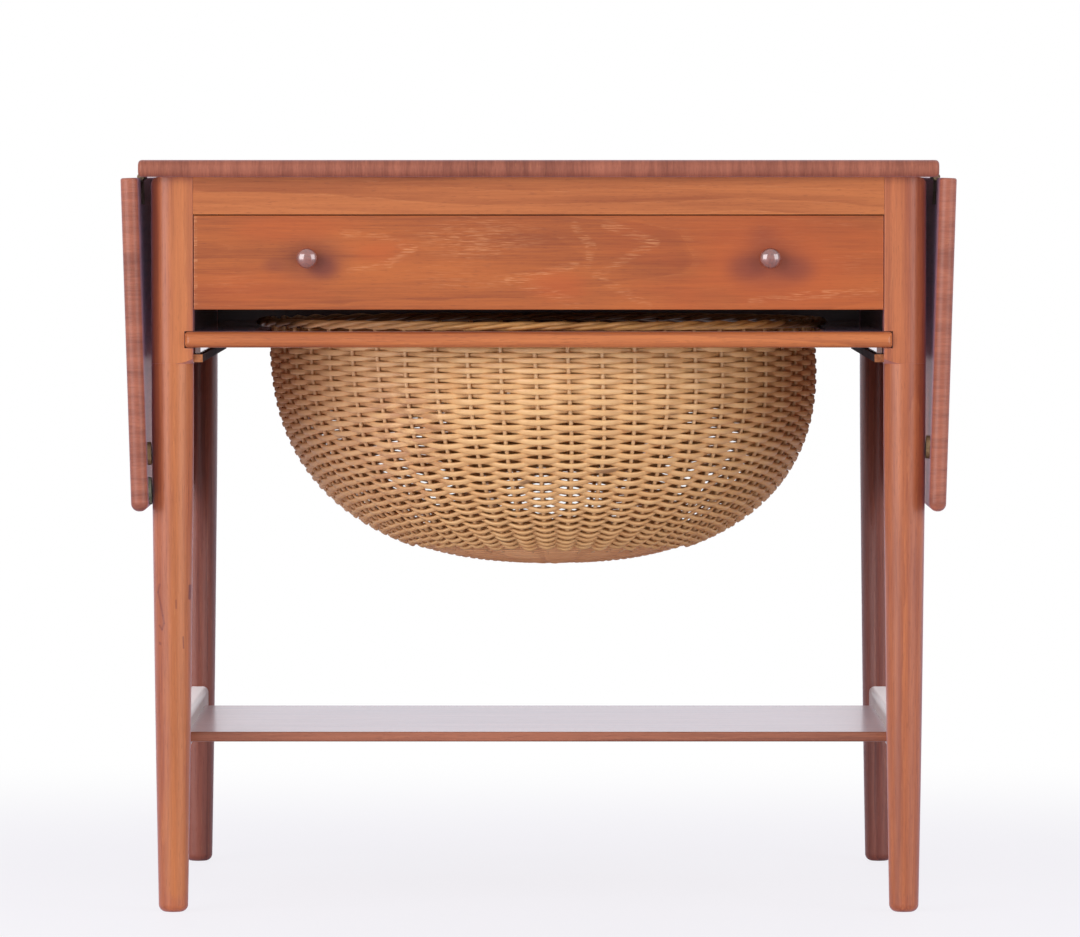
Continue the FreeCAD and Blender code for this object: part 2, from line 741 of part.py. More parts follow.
def hinge(mid_y):
    """One raised hinge: top plate, leaf plate and pin."""
    start = mid_y - hinge_long / 2
    relief = knuckle_diameter / 2 + knuckle_clear
    pitch = hinge_long / hinge_knuckles
    plate_top = under_top + hinge_thick
    end = start + hinge_long
    top_plate = block(hinge_x - hinge_wide, hinge_x - relief, start, end, under_top, plate_top)
    leaf_plate = block(hinge_x + relief, hinge_x + hinge_wide, start, end, under_top, plate_top)
    top_parts = []
    leaf_parts = []
    for index in range(hinge_knuckles):
        y0 = start + pitch * index + knuckle_play / 2
        y1 = start + pitch * (index + 1) - knuckle_play / 2
        barrel = rod(knuckle_diameter / 2, Vector(hinge_x, y0, under_top), Vector(hinge_x, y1, under_top))
        if index % 2 == 0:
            top_parts += [barrel, block(hinge_x - relief, hinge_x, y0, y1, under_top, plate_top)]
        else:
            leaf_parts += [barrel, block(hinge_x, hinge_x + relief, y0, y1, under_top, plate_top)]
    ends = (Vector(hinge_x, start, under_top), Vector(hinge_x, end, under_top))
    pin = rod(hinge_pin_diameter / 2, ends[0], ends[1])
    bore = rod(hinge_pin_diameter / 2 + pin_fit, ends[0] - along_y * overrun, ends[1] + along_y * overrun)
    top_plate = top_plate.fuse(top_parts).cut(bore).removeSplitter()
    leaf_plate = leaf_plate.fuse(leaf_parts).cut(bore).removeSplitter()
    return top_plate, leaf_plate, pin


def hinge_mids():
    """Middles of the hinges along the table's depth."""
    return (hinge_inset - top_y, top_y - hinge_inset)


def hinge_recess(mid_y):
    """What is cut from both boards for one raised hinge."""
    start = mid_y - hinge_long / 2 - recess_fit
    end = mid_y + hinge_long / 2 + recess_fit
    seat = block(hinge_x - hinge_wide - recess_fit, hinge_x + hinge_wide + recess_fit, start, end,
                 under_top - overrun, under_top + hinge_thick)
    groove = rod(knuckle_diameter / 2 + knuckle_clear, Vector(hinge_x, start, under_top),
                 Vector(hinge_x, end, under_top))
    return seat.fuse(groove)


def hinge_screw_places(side):
    """Heads of the screws of both raised hinges; side is -1 in the top board and 1 in the leaf."""
    relief = knuckle_diameter / 2 + knuckle_clear
    x = hinge_x + side * (relief + hinge_wide) / 2
    places = []
    for mid_y in hinge_mids():
        places += [Vector(x, y, under_top) for y in evenly(mid_y - hinge_long / 2, mid_y + hinge_long / 2, 3)]
    return places


def stop_screw_places():
    """Heads of the two screws in the raised stop plate."""
    x = hinge_x + stop_start() + stop_wide / 2
    z = under_top - stop_thick
    return [Vector(x, y, z) for y in evenly(-stop_long / 2, stop_long / 2, 2)]


def make_top():
    """Top board with its hinge recesses, and the screws in its underside."""
    slab = board(-top_x, top_x, -top_y, top_y, under_top, table_height, board_nose, 0)
    slab = soften_end(soften_end(slab, top_x, top_end_round), -top_x, top_end_round)
    recesses = [hinge_recess(mid_y) for mid_y in hinge_mids()]
    slab = slab.cut(recesses + [mirror_x(recess) for recess in recesses])
    for places, length, sink in ((hinge_screw_places(-1), hinge_screw_long, 0),
                                 (top_screws(), top_screw_long, top_screw_sink)):
        mirrored = [Vector(-place.x, place.y, place.z) for place in places]
        slab = drill(slab, places + mirrored, along_z, length, sink)
    pieces["top_board"] = slab
    held = screws(top_screws(), along_z, top_screw_long)
    pieces["top_screws"] = Part.makeCompound(held + [mirror_x(s) for s in held])
    held = screws(hinge_screw_places(-1), along_z, hinge_screw_long)
    pieces["hinge_top_screws"] = Part.makeCompound(held + [mirror_x(s) for s in held])


def make_hinges():
    """Hinge plates and pins, with the leaf plates turned down."""
    made = [hinge(mid_y) for mid_y in hinge_mids()]
    top_plates = [drill(plates[0], hinge_screw_places(-1), along_z, hinge_screw_long, 0) for plates in made]
    leaf_plates = [drill(plates[1], hinge_screw_places(1), along_z, hinge_screw_long, 0) for plates in made]
    pair("hinge_top_plates", Part.makeCompound(top_plates))
    pair("hinge_leaf_plates", Part.makeCompound([lower(plate) for plate in leaf_plates]))
    pair("hinge_pins", Part.makeCompound([plates[2] for plates in made]))


def make_leaves():
    """Leaves, their screws and the prop stops, built raised and turned down."""
    start_x = hinge_x + leaf_gap / 2
    end_x = start_x + leaf_width
    slab = board(start_x, end_x, -top_y, top_y, under_top, table_height, board_nose, leaf_corner)
    slab = soften_end(slab, start_x, board_arris)
    slab = slab.cut([hinge_recess(mid_y) for mid_y in hinge_mids()])
    slab = drill(slab, hinge_screw_places(1), along_z, hinge_screw_long, 0)
    slab = drill(slab, stop_screw_places(), along_z, stop_screw_long, 0)
    pair("leaf", lower(slab))
    stop_x = hinge_x + stop_start()
    stop = block(stop_x, stop_x + stop_wide, -stop_long / 2, stop_long / 2, under_top - stop_thick, under_top)
    stop = round_edges(stop, stop_thick / 2, lambda e: e.BoundBox.ZMax < under_top - stop_thick / 2
                       and spans(e, 1) > stop_wide)
    pair("prop_stop", lower(drill(stop, stop_screw_places(), along_z, stop_screw_long, 0)))
    held = screws(hinge_screw_places(1), along_z, hinge_screw_long)
    held += screws(stop_screw_places(), along_z, stop_screw_long)
    pair("leaf_screws", Part.makeCompound([lower(s) for s in held]))


def bumper(reach, thick):
    """Front rubber bumper under a raised right leaf, at a distance from the hinge line."""
    start = Vector(hinge_x + reach, -leg_y, under_top)
    disc = rod(bumper_diameter / 2, start, start - along_z * thick)
    return round_edges(disc, bumper_round, lambda e: e.BoundBox.ZMax < under_top - thick / 2)


def make_bumpers():
    """Rubber bumpers on both leaves and the felt pad on the left one."""
    slope = math.tan(math.radians(rest_tilt()))
    for side, rise in (("left", 0), ("right", bumper_rise_right)):
        reach = leaf_width - bumper_edge - rise
        level = under_top - reach
        across = hinge_x - leg_x - shaft_radius(level)
        thick = (across - reach * slope) * math.cos(math.atan(slope)) - contact_gap
        disc = lower(bumper(reach, thick))
        both = Part.makeCompound([disc, mirror_y(disc)])
        pieces["bumpers_" + side] = mirror_x(both) if side == "left" else both
    start = Vector(hinge_x + leaf_width - felt_edge, -leg_y, under_top)
    pad = rod(felt_diameter / 2, start, start - along_z * felt_thick)
    pieces["felt_pad_left"] = mirror_x(lower(pad))


def bracket_screws():
    """Heads of the screws in the right prop bracket."""
    x = inner_x + apron_thick + prop_plate_thick
    z = under_top - prop_drop
    far = prop_plate_wide / 2 - screw_head
    high = prop_plate_high / 2 - screw_head
    return [Vector(x, y, level) for level in (z - high, z + high) for y in (-far, far)]


def make_props():
    """Prop arms, hanging, with their brackets, pins and screws."""
    face_x = inner_x + apron_thick
    pivot_x = face_x + prop_stand
    pivot_z = under_top - prop_drop
    half = prop_thick / 2
    ear_in = half + prop_ear_gap
    ear_out = ear_in + prop_ear_thick
    plate = block(face_x, face_x + prop_plate_thick, -prop_plate_wide / 2, prop_plate_wide / 2,
                  pivot_z - prop_plate_high / 2, pivot_z + prop_plate_high / 2)
    ear = rod(prop_ear_radius, Vector(pivot_x, ear_in, pivot_z), Vector(pivot_x, ear_out, pivot_z))
    web = block(face_x, pivot_x, ear_in, ear_out, pivot_z - prop_ear_radius, pivot_z + prop_ear_radius)
    ear = ear.fuse(web)
    bore = rod(prop_pin_diameter / 2 + pin_fit, Vector(pivot_x, -prop_plate_wide, pivot_z),
               Vector(pivot_x, prop_plate_wide, pivot_z))
    bracket = plate.fuse([ear, mirror_y(ear)]).cut(bore).removeSplitter()
    pair("prop_bracket", drill(bracket, bracket_screws(), along_x * -1, bracket_screw_long, screw_sink))

    tip_z = pivot_z - prop_long
    arm = block(pivot_x - prop_wide / 2, pivot_x + prop_wide / 2, -half, half, tip_z, pivot_z)
    eyes = [rod(prop_wide / 2, Vector(pivot_x, -half, z), Vector(pivot_x, half, z)) for z in (tip_z, pivot_z)]
    pair("prop_arm", arm.fuse(eyes).cut(bore).removeSplitter())

    pin = rod(prop_pin_diameter / 2, Vector(pivot_x, -ear_out, pivot_z), Vector(pivot_x, ear_out, pivot_z))
    cap = rod(prop_pin_head / 2, Vector(pivot_x, ear_out, pivot_z),
              Vector(pivot_x, ear_out + prop_pin_head_thick, pivot_z))
    pair("prop_pin", pin.fuse([cap, mirror_y(cap)]).removeSplitter())
    held = screws(bracket_screws(), along_x * -1, bracket_screw_long)
    pieces["prop_bracket_screws"] = Part.makeCompound(held + [mirror_x(s) for s in held])


make_legs()
make_frame()
make_runners()
make_drawer()
make_tray()
make_basket()
make_base()
make_top()
make_hinges()
make_leaves()
make_bumpers()
make_props()

os.makedirs("parts", exist_ok=True)
for name, shape in pieces.items():
    if not shape.isValid():
        raise ValueError(name + " is not a valid shape")
    shape.exportStep("parts/" + name + ".step")

print("pieces", len(pieces))
print("hinge line x", hinge_x, "z", under_top)
print("leaf turn in degrees", leaf_turn, "prop turn", prop_turn(), "stop from hinge", stop_start())
print("prop pivot x", inner_x + apron_thick + prop_stand, "z", under_top - prop_drop)
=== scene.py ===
import logging
import math
from dataclasses import dataclass, field, replace
from enum import Enum
from typing import Optional, Sequence, Union

import bpy
import numpy as np
from mathutils import Matrix, Vector


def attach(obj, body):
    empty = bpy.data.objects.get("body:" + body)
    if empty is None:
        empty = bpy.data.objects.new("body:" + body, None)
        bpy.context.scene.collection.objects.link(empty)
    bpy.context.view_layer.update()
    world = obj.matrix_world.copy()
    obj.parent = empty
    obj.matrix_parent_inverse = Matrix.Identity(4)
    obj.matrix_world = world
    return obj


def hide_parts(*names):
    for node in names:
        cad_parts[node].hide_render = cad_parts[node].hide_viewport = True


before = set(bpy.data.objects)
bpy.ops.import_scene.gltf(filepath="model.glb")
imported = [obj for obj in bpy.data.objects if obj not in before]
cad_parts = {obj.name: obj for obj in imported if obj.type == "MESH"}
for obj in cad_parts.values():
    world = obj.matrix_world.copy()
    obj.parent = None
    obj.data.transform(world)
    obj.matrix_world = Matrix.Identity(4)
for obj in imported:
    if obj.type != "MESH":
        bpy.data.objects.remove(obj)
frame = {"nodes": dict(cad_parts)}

# Drop-leaf sewing table in oiled teak with a drawer and a sliding tray that carries a woven cane basket.
# Metres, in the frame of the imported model: X to the right, Y to the back, Z up.

log = logging.getLogger("sewing_table")
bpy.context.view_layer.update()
TURN = 2 * math.pi

Colour = tuple[float, float, float]
Number = Union["Socket", float]
Value = Union["Socket", float, Sequence[float]]


def screen(red: int, green: int, blue: int) -> Colour:
    """A colour as the eye names it, 0 to 255 a channel, turned into the linear values of a shader."""
    shares = np.array([red, green, blue]) / 255
    linear = np.where(shares <= 0.04045, shares / 12.92, ((shares + 0.055) / 1.055) ** 2.4)
    return tuple(float(share) for share in linear)


class Socket:
    """An output of a shader node, whose operators add Math nodes to the same finish."""

    def __init__(self, sketch: "Sketch", output: bpy.types.NodeSocket) -> None:
        """Keep the finish that the output belongs to."""
        self.sketch = sketch
        self.output = output

    def math(self, operation: str, *values: Number) -> "Socket":
        """One Math node.

        Args:
            operation: name of the Math node's operation.
            values: its inputs in order.

        Returns:
            The node's result.
        """
        return self.sketch.node("ShaderNodeMath", {"operation": operation}, dict(enumerate(values)))

    def __add__(self, other: Number) -> "Socket":
        """Sum."""
        return self.math("ADD", self, other)

    def __radd__(self, other: float) -> "Socket":
        """Sum, number first."""
        return self.math("ADD", other, self)

    def __sub__(self, other: Number) -> "Socket":
        """Difference."""
        return self.math("SUBTRACT", self, other)

    def __rsub__(self, other: float) -> "Socket":
        """Difference, number first."""
        return self.math("SUBTRACT", other, self)

    def __mul__(self, other: Number) -> "Socket":
        """Product."""
        return self.math("MULTIPLY", self, other)

    def __rmul__(self, other: float) -> "Socket":
        """Product, number first."""
        return self.math("MULTIPLY", other, self)

    def __truediv__(self, other: Number) -> "Socket":
        """Quotient."""
        return self.math("DIVIDE", self, other)

    def __pow__(self, other: Number) -> "Socket":
        """Power."""
        return self.math("POWER", self, other)

    def fraction(self) -> "Socket":
        """What is left above the whole number."""
        return self.math("FRACT", self)

    def whole(self) -> "Socket":
        """The whole number below."""
        return self.math("FLOOR", self)

    def between(self, low: float, high: float) -> "Socket":
        """A smooth step from 0 at low to 1 at high; low may be the larger of the two."""
        return self.sketch.node("ShaderNodeMapRange", {"interpolation_type": "SMOOTHSTEP"},
                                {"Value": self, "From Min": low, "From Max": high})


class Sketch:
    """The node tree of one finish."""

    def __init__(self, tree: bpy.types.NodeTree) -> None:
        """Start from an empty tree."""
        self.tree = tree
        tree.nodes.clear()

    def node(self, kind: str, settings: Optional[dict] = None, inputs: Optional[dict] = None,
             output: Union[int, str, None] = 0) -> Optional[Socket]:
        """Add one node.

        Args:
            kind: the node's type.
            settings: its own settings, set before anything else.
            inputs: values or links of its sockets, by name or place.
            output: which of its outputs is wanted, or None for a node that has none.

        Returns:
            The wanted output.
        """
        made = self.tree.nodes.new(kind)
        for name, value in (settings or {}).items():
            setattr(made, name, value)
        for name, value in (inputs or {}).items():
            if isinstance(value, Socket):
                self.tree.links.new(value.output, made.inputs[name])
            else:
                made.inputs[name].default_value = value
        return None if output is None else Socket(self, made.outputs[output])

    def place(self) -> Socket:
        """Object coordinates of the shaded point."""
        return self.node("ShaderNodeTexCoord", output="Object")

    def parts(self, vector: Socket) -> list[Socket]:
        """The three numbers of a vector."""
        first = self.node("ShaderNodeSeparateXYZ", inputs={0: vector})
        return [Socket(self, output) for output in first.output.node.outputs]

    def vector(self, x: Value, y: Value, z: Value) -> Socket:
        """A vector from three numbers."""
        return self.node("ShaderNodeCombineXYZ", inputs={0: x, 1: y, 2: z})

    def noise(self, vector: Socket, scale: float = 1.0, detail: float = 2.0, rough: float = 0.5,
              twist: float = 0.0) -> Socket:
        """Soft noise from 0 to 1 about a half."""
        return self.node("ShaderNodeTexNoise", {}, {"Vector": vector, "Scale": scale, "Detail": detail,
                                                    "Roughness": rough, "Distortion": twist})

    def chance(self, value: Socket) -> Socket:
        """A random number from 0 to 1 for each number put in."""
        return self.node("ShaderNodeTexWhiteNoise", {"noise_dimensions": "1D"}, {"W": value})

    def mix(self, share: Value, first: Value, second: Value) -> Socket:
        """Mix two colours.

        Args:
            share: how much of the second.
            first: colour at 0, as a link or three numbers.
            second: colour at 1.

        Returns:
            The mixed colour.
        """
        given = [value if isinstance(value, Socket) else (*value, 1) for value in (first, second)]
        return self.node("ShaderNodeMix", {"data_type": "RGBA"},
                         {0: share, 6: given[0], 7: given[1]}, 2)

    def bump(self, height: Socket, depth: float, strength: float = 1.0) -> Socket:
        """Normal of a height from 0 to 1 that stands for a depth in metres."""
        return self.node("ShaderNodeBump", {}, {"Height": height, "Distance": depth, "Strength": strength})

    def surface(self, **sockets: Value) -> None:
        """Finish the tree with one plain shader whose sockets are given by name."""
        shader = self.node("ShaderNodeBsdfPrincipled", {},
                           {name.replace("_", " "): value for name, value in sockets.items()})
        self.node("ShaderNodeOutputMaterial", {}, {"Surface": shader}, None)


class Finish:
    """A named surface; each kind draws its own tree, once."""

    name: str

    def draw(self, sketch: Sketch) -> None:
        """Draw the finish."""
        raise NotImplementedError

    def material(self) -> bpy.types.Material:
        """The finish as a material, made the first time that it is asked for."""
        found = bpy.data.materials.get(self.name)
        if found is None:
            found = bpy.data.materials.new(self.name)
            found.use_nodes = True
            self.draw(Sketch(found.node_tree))
        return found


class Along(Enum):
    """Which way a board's grain runs, as the axes of its grain, its width and its thickness."""

    WIDTH = (0, 1, 2)
    DEPTH = (1, 0, 2)
    HEIGHT = (2, 0, 1)
    HANGING = (1, 2, 0)

    def board(self, sketch: Sketch) -> list[Socket]:
        """The shaded point as its run along the grain, its place across the board and its rise through it."""
        place = sketch.parts(sketch.place())
        return [place[axis] for axis in self.value]


@dataclass(frozen=True)
class Grain:
    """Noise drawn out along a board: its scales along the grain and across it, detail and roughness.

    Shifted names the coordinate that a board's own seed moves, so that no two boards are alike.
    """

    along: float
    across: float
    detail: float = 2.0
    rough: float = 0.5
    shifted: Optional[int] = 0

    def over(self, sketch: Sketch, board: Sequence[Socket], seed: float = 0.0) -> Socket:
        """The noise at a place on a board.

        Args:
            sketch: tree of the board's finish.
            board: run along the grain, place across it and rise.
            seed: the board's own number.

        Returns:
            The noise, from 0 to 1.
        """
        places = [place * scale for place, scale in zip(board, (self.along, self.across, self.across))]
        if self.shifted is not None:
            places[self.shifted] = places[self.shifted] + seed
        return sketch.noise(sketch.vector(*places), 1.0, self.detail, self.rough)


WANDER = Grain(2.2, 9.0)
WAVE = Grain(11.0, 30.0, 3.0, 0.6, shifted=1)
FIBRE = Grain(18.0, 620.0, 3.0, 0.62)
STREAK = Grain(3.2, 110.0, 4.0, 0.58)
MOTTLE = Grain(5.0, 15.0, shifted=2)
PORE = Grain(110.0, 1500.0, 1.0, shifted=None)
DASH = Grain(90.0, 1900.0, 1.5)
PALE_FIBRE = Grain(12.0, 420.0, 3.0, 0.6, shifted=None)
PALE_STREAK = Grain(3.0, 60.0, shifted=None)
PLY_FIBRE = Grain(40.0, 600.0, shifted=None)


@dataclass(frozen=True)
class Patch:
    """A soft oval with a ragged edge on a board's front: middle, half width, half height and strength."""

    x: float
    z: float
    wide: float
    high: float
    strength: float

    def share(self, sketch: Sketch, ragged: Socket) -> Socket:
        """Strength at the shaded point, its edge moved in and out by a noise about nought."""
        x, _, z = sketch.parts(sketch.place())
        across, above = (x - self.x) / self.wide, (z - self.z) / self.high
        near = (across * across + above * above) ** 0.5 + ragged * 1.6
        return near.between(1.25, 0.2) * self.strength


@dataclass(frozen=True)
class Trail:
    """A thin trail on a board's front from one point to another, each as X and Z."""

    start: tuple[float, float]
    end: tuple[float, float]
    wide: float
    strength: float

    def share(self, sketch: Sketch, ragged: Socket) -> Socket:
        """Strength by the distance to the line between the points, moved by a noise about nought."""
        x, _, z = sketch.parts(sketch.place())
        run_x, run_z = self.end[0] - self.start[0], self.end[1] - self.start[1]
        x, z = x - self.start[0], z - self.start[1]
        along = (x * run_x + z * run_z) / (run_x ** 2 + run_z ** 2)
        along = along.math("MAXIMUM", along.math("MINIMUM", along, 1.0), 0.0)
        off_x, off_z = x - along * run_x, z - along * run_z
        far = (off_x * off_x + off_z * off_z) ** 0.5 + ragged * self.wide
        return far.between(self.wide, self.wide * 0.2) * self.strength


Mark = Union[Patch, Trail]


def trails(points: Sequence[tuple[float, float]], wide: float, strength: float) -> tuple[Mark, ...]:
    """Trails from each point to the next."""
    return tuple(Trail(start, end, wide, strength) for start, end in zip(points, points[1:]))


@dataclass(frozen=True)
class Teak(Finish):
    """Oiled teak: growth rings about a tilted heart line, long streaks, fibres and pale pores.

    The heart lies at two cross coordinates and drifts by two slopes along the grain, so that a
    face cut across it shows flames, and the same rings run on round the edges. A flat below 1
    draws the figure out across the board's thickness, so that sawn ends show ticks. Flame, lines
    and mottle are the strengths of rings, streaks and broad patches, pale that of light flecks
    and edging that of flecks along the rings. Stain marks, flecks and glows are listed marks:
    dark, pale and warm; some dark ones are painted shadow and painted shade, and one pale line
    is partly a painted highlight. An axis and a distance from the table's middle plane give
    painted shade: within them the wood is painted dark and dull, as inside the case in shade.
    """

    name: str
    along: Along
    heart: tuple[float, float] = (0.05, -0.30)
    drift: tuple[float, float] = (0.02, 0.04)
    ring: float = 0.0062
    flame: float = 0.22
    wander: float = 0.030
    wild: float = 0.008
    flat: float = 1.0
    light: Colour = screen(192, 108, 58)
    dark: Colour = screen(140, 68, 35)
    pores: Colour = screen(104, 50, 30)
    pale: float = 0.30
    shine: float = 0.42
    coat: float = 0.60
    polish: float = 0.20
    gloss: float = 1.4
    bloom: float = 0.08
    haze: Colour = screen(224, 200, 240)
    edging: float = 0.6
    mottle: float = 0.7
    lines: float = 1.5
    # Dark marks and their colour: stain marks, scratches and handling marks, and also painted shadow about
    # the drawer knobs and painted shade down a leg's outer side.
    stains_and_shade: tuple[Mark, ...] = ()
    stain: Colour = screen(112, 48, 40)
    flecks: tuple[Mark, ...] = ()
    fleck: Colour = screen(226, 160, 108)
    glows: tuple[Mark, ...] = ()
    warm: Colour = screen(192, 88, 34)
    # Painted shade: an axis and a distance within which the colour goes to the dark shade tone below, as
    # inside the case.
    shade_within: Optional[tuple[int, float]] = None
    shade_tone: Colour = screen(50, 44, 50)
    relief: float = 0.00010
    seed: float = 0.0

    def rings(self, board: Sequence[Socket], wander: Socket, wave: Socket) -> Socket:
        """Growth rings counted outwards: the distance to the heart line over the width of one ring."""
        run, side, rise = board
        across = side - self.heart[0] + run * self.drift[0] + wander * self.wander
        through = (rise - self.heart[1]) * self.flat + run * self.drift[1] + wave * self.wild
        return (across * across + through * through) ** 0.5 / self.ring

    def draw(self, sketch: Sketch) -> None:
        """Rings from the distance to the heart line, then streaks, fibres, pores and marks on top."""
        run, side, rise = self.along.board(sketch)
        drawn = (run, side, rise * self.flat)
        wander = WANDER.over(sketch, drawn, self.seed) - 0.5
        wave = WAVE.over(sketch, drawn, self.seed) - 0.5
        fibre = FIBRE.over(sketch, drawn, self.seed)
        streak = STREAK.over(sketch, drawn, self.seed)
        patch = MOTTLE.over(sketch, drawn, self.seed)
        pore = PORE.over(sketch, drawn).between(0.60, 0.70)
        dash = DASH.over(sketch, drawn, self.seed)
        rings = self.rings((run, side, rise), wander, wave)
        saw = rings.fraction()
        late = saw.between(0.25, 0.90) * saw.between(1.0, 0.93)
        fat = sketch.chance(rings.whole() + self.seed)
        deep = ((late - 0.5) * (0.4 + fat * 0.6) * self.flame + (streak - 0.5) * self.lines
                + (fibre - 0.5) * 0.9 + (patch - 0.5) * self.mottle + (fat - 0.5) * self.flame + 0.45)
        tone = sketch.mix(deep.between(-0.1, 1.1), self.light, self.dark)
        tone = sketch.mix(pore * 0.28, tone, self.pores)
        for glow in self.glows:
            tone = sketch.mix(glow.share(sketch, wave), tone, self.warm)
        where = saw.between(0.16, 0.0) * self.edging + patch.between(0.54, 0.70) * 0.25
        for fleck in self.flecks:
            where = where + fleck.share(sketch, wave)
        dash = dash.between(0.50, 0.68) * where.between(0.0, 1.0)
        tone = sketch.mix(dash * self.pale, tone, self.fleck)
        # Dark marks, painted shadow and painted shade among them.
        for stain in self.stains_and_shade:
            tone = sketch.mix(stain.share(sketch, patch - 0.5), tone, self.stain)
        # Painted shade inside the case: near the middle plane the tone goes to the dark shade tone.
        if self.shade_within is not None:
            axis, level = self.shade_within
            away = sketch.parts(sketch.place())[axis]
            away = away.math("ABSOLUTE", away)
            tone = sketch.mix(away.between(level + 0.001, level), tone, self.shade_tone)
        sketch.surface(Base_Color=tone, Roughness=self.shine + (fibre - 0.5) * 0.2 + pore * 0.1,
                       Specular_IOR_Level=0.3, Coat_Weight=self.coat, Coat_Roughness=self.polish,
                       Coat_IOR=self.gloss, Sheen_Weight=self.bloom, Sheen_Roughness=0.4,
                       Sheen_Tint=(*self.haze, 1),
                       Normal=sketch.bump(fibre * 0.5 - pore * 0.6, self.relief, 0.25))


@dataclass(frozen=True)
class PaleWood(Finish):
    """Plain planed hardwood, as used where the table doesn't show it."""

    name: str
    along: Along
    light: Colour = screen(222, 190, 148)
    dark: Colour = screen(188, 150, 108)

    def draw(self, sketch: Sketch) -> None:
        """Fine fibres and short flecks along the grain."""
        board = self.along.board(sketch)
        fibre = PALE_FIBRE.over(sketch, board)
        streak = PALE_STREAK.over(sketch, board)
        tone = sketch.mix((fibre * 0.5 + streak * 0.5).between(0.3, 0.72), self.light, self.dark)
        sketch.surface(Base_Color=tone, Roughness=0.55 + (fibre - 0.5) * 0.2,
                       Normal=sketch.bump(fibre, 0.0002, 0.5))


@dataclass(frozen=True)
class Plywood(Finish):
    """Thin birch plywood: broad rotary-cut figure on the faces, three plies at the edges."""

    name: str = "birch_plywood"
    base: float = 0.492
    ply: float = 0.00167
    light: Colour = screen(219, 186, 140)
    dark: Colour = screen(190, 150, 104)
    glue: Colour = screen(120, 84, 56)

    def draw(self, sketch: Sketch) -> None:
        """Wide wavy figure, and plies counted up from the panel's underside."""
        x, y, z = sketch.parts(sketch.place())
        figure = sketch.noise(sketch.vector(x * 6.0, y * 30.0, z * 200.0), 1.0, 4.0, 0.6, 1.2)
        tone = sketch.mix(figure.between(0.35, 0.7), self.light, self.dark)
        seam = ((z - self.base) / self.ply).fraction().between(0.12, 0.02)
        fibre = PLY_FIBRE.over(sketch, (x, y, z))
        sketch.surface(Base_Color=sketch.mix(seam * 0.5, tone, self.glue),
                       Roughness=0.5 + (figure - 0.5) * 0.2, Normal=sketch.bump(fibre, 0.0001, 0.5))


@dataclass(frozen=True)
class Cane(Finish):
    """Cane strand: tone that changes along the strand, fine lengthwise lines and stained stretches.

    It reads the strand's own map: U is the length along the strand in metres, V goes once round.
    Stain is the strength of one spot low on the belly's left, and the basket's left side is
    painted lighter, as painted light. A share gives how dark the strand is painted behind the
    table's front, as painted shade from the case.
    """

    name: str
    light: Colour = screen(244, 202, 142)
    dark: Colour = screen(210, 154, 96)
    stain: float = 0.6
    shine: float = 0.40
    # Painted shade: how far the strand takes the dark shade tone behind the table's front.
    age_and_shade: float = 0.0
    knots: Colour = screen(112, 66, 40)
    spots: Colour = screen(150, 84, 50)
    # Painted light: paler tone that the basket's left side is lightened towards.
    painted_light_tone: Colour = screen(255, 206, 156)
    shade_tone: Colour = screen(66, 44, 32)
    spot: tuple[float, float, float] = (-0.116, -0.21, 0.372)
    # Span of X over which that painted light comes in.
    left: tuple[float, float] = (-0.04, -0.18)
    # Span of Y over which that painted shade comes in.
    behind: tuple[float, float] = (-0.170, -0.135)

    def draw(self, sketch: Sketch) -> None:
        """Slow and quick changes of tone along the strand, and lines round its section."""
        map_u, map_v, _ = sketch.parts(sketch.node("ShaderNodeUVMap", {"uv_map": "strand"}))
        slow = sketch.noise(sketch.vector(map_u * 5.0, 0.0, 0.0), 1.0, 2.0)
        quick = sketch.noise(sketch.vector(map_u * 55.0, map_v * 2.0, 3.0), 1.0, 3.0, 0.6)
        lines = sketch.noise(sketch.vector(map_u * 30.0, map_v * 30.0, 7.0), 1.0, 2.0)
        knot = sketch.noise(sketch.vector(map_u * 16.0, map_v, 11.0), 1.0, 1.0).between(0.70, 0.76)
        deep = (slow - 0.5) * 0.9 + (quick - 0.5) * 0.9 + (lines - 0.5) * 0.5 + 0.42
        tone = sketch.mix(deep.between(0.0, 1.0), self.light, self.dark)
        x, y, z = sketch.parts(sketch.place())
        near = (((x - self.spot[0]) * 18.0) ** 2.0 + ((z - self.spot[2]) * 14.0) ** 2.0
                + ((y - self.spot[1]) * 6.0) ** 2.0)
        spot = near.between(1.0, 0.1) * quick.between(0.42, 0.62) * self.stain
        tone = sketch.mix(knot * 0.7, tone, self.knots)
        tone = sketch.mix(spot, tone, self.spots)
        # Painted light: the basket's left side lightened towards a paler tone.
        tone = sketch.mix(x.between(*self.left) * 0.5, tone, self.painted_light_tone)
        # Painted shade: darker behind the table's front, where the case shades the border.
        tone = sketch.mix(y.between(*self.behind) * self.age_and_shade, tone, self.shade_tone)
        sketch.surface(Base_Color=tone, Roughness=self.shine + (quick - 0.5) * 0.3,
                       Normal=sketch.bump(lines * 0.7 + quick * 0.3, 0.00015, 0.6))


@dataclass(frozen=True)
class Metal(Finish):
    """Worn metal: fine scratches, and darker patches of age."""

    name: str
    bright: Colour
    age_and_shade: Colour
    shine: float = 0.32

    def draw(self, sketch: Sketch) -> None:
        """Patches of age over the bright metal."""
        place = sketch.place()
        patch = sketch.noise(place, 90.0, 4.0, 0.6).between(0.40, 0.68)
        scratch = sketch.noise(place, 900.0, 2.0)
        sketch.surface(Base_Color=sketch.mix(patch, self.bright, self.age_and_shade), Metallic=1.0,
                       Roughness=self.shine + patch * 0.22 + (scratch - 0.5) * 0.12,
                       Normal=sketch.bump(scratch, 0.00003, 0.5))


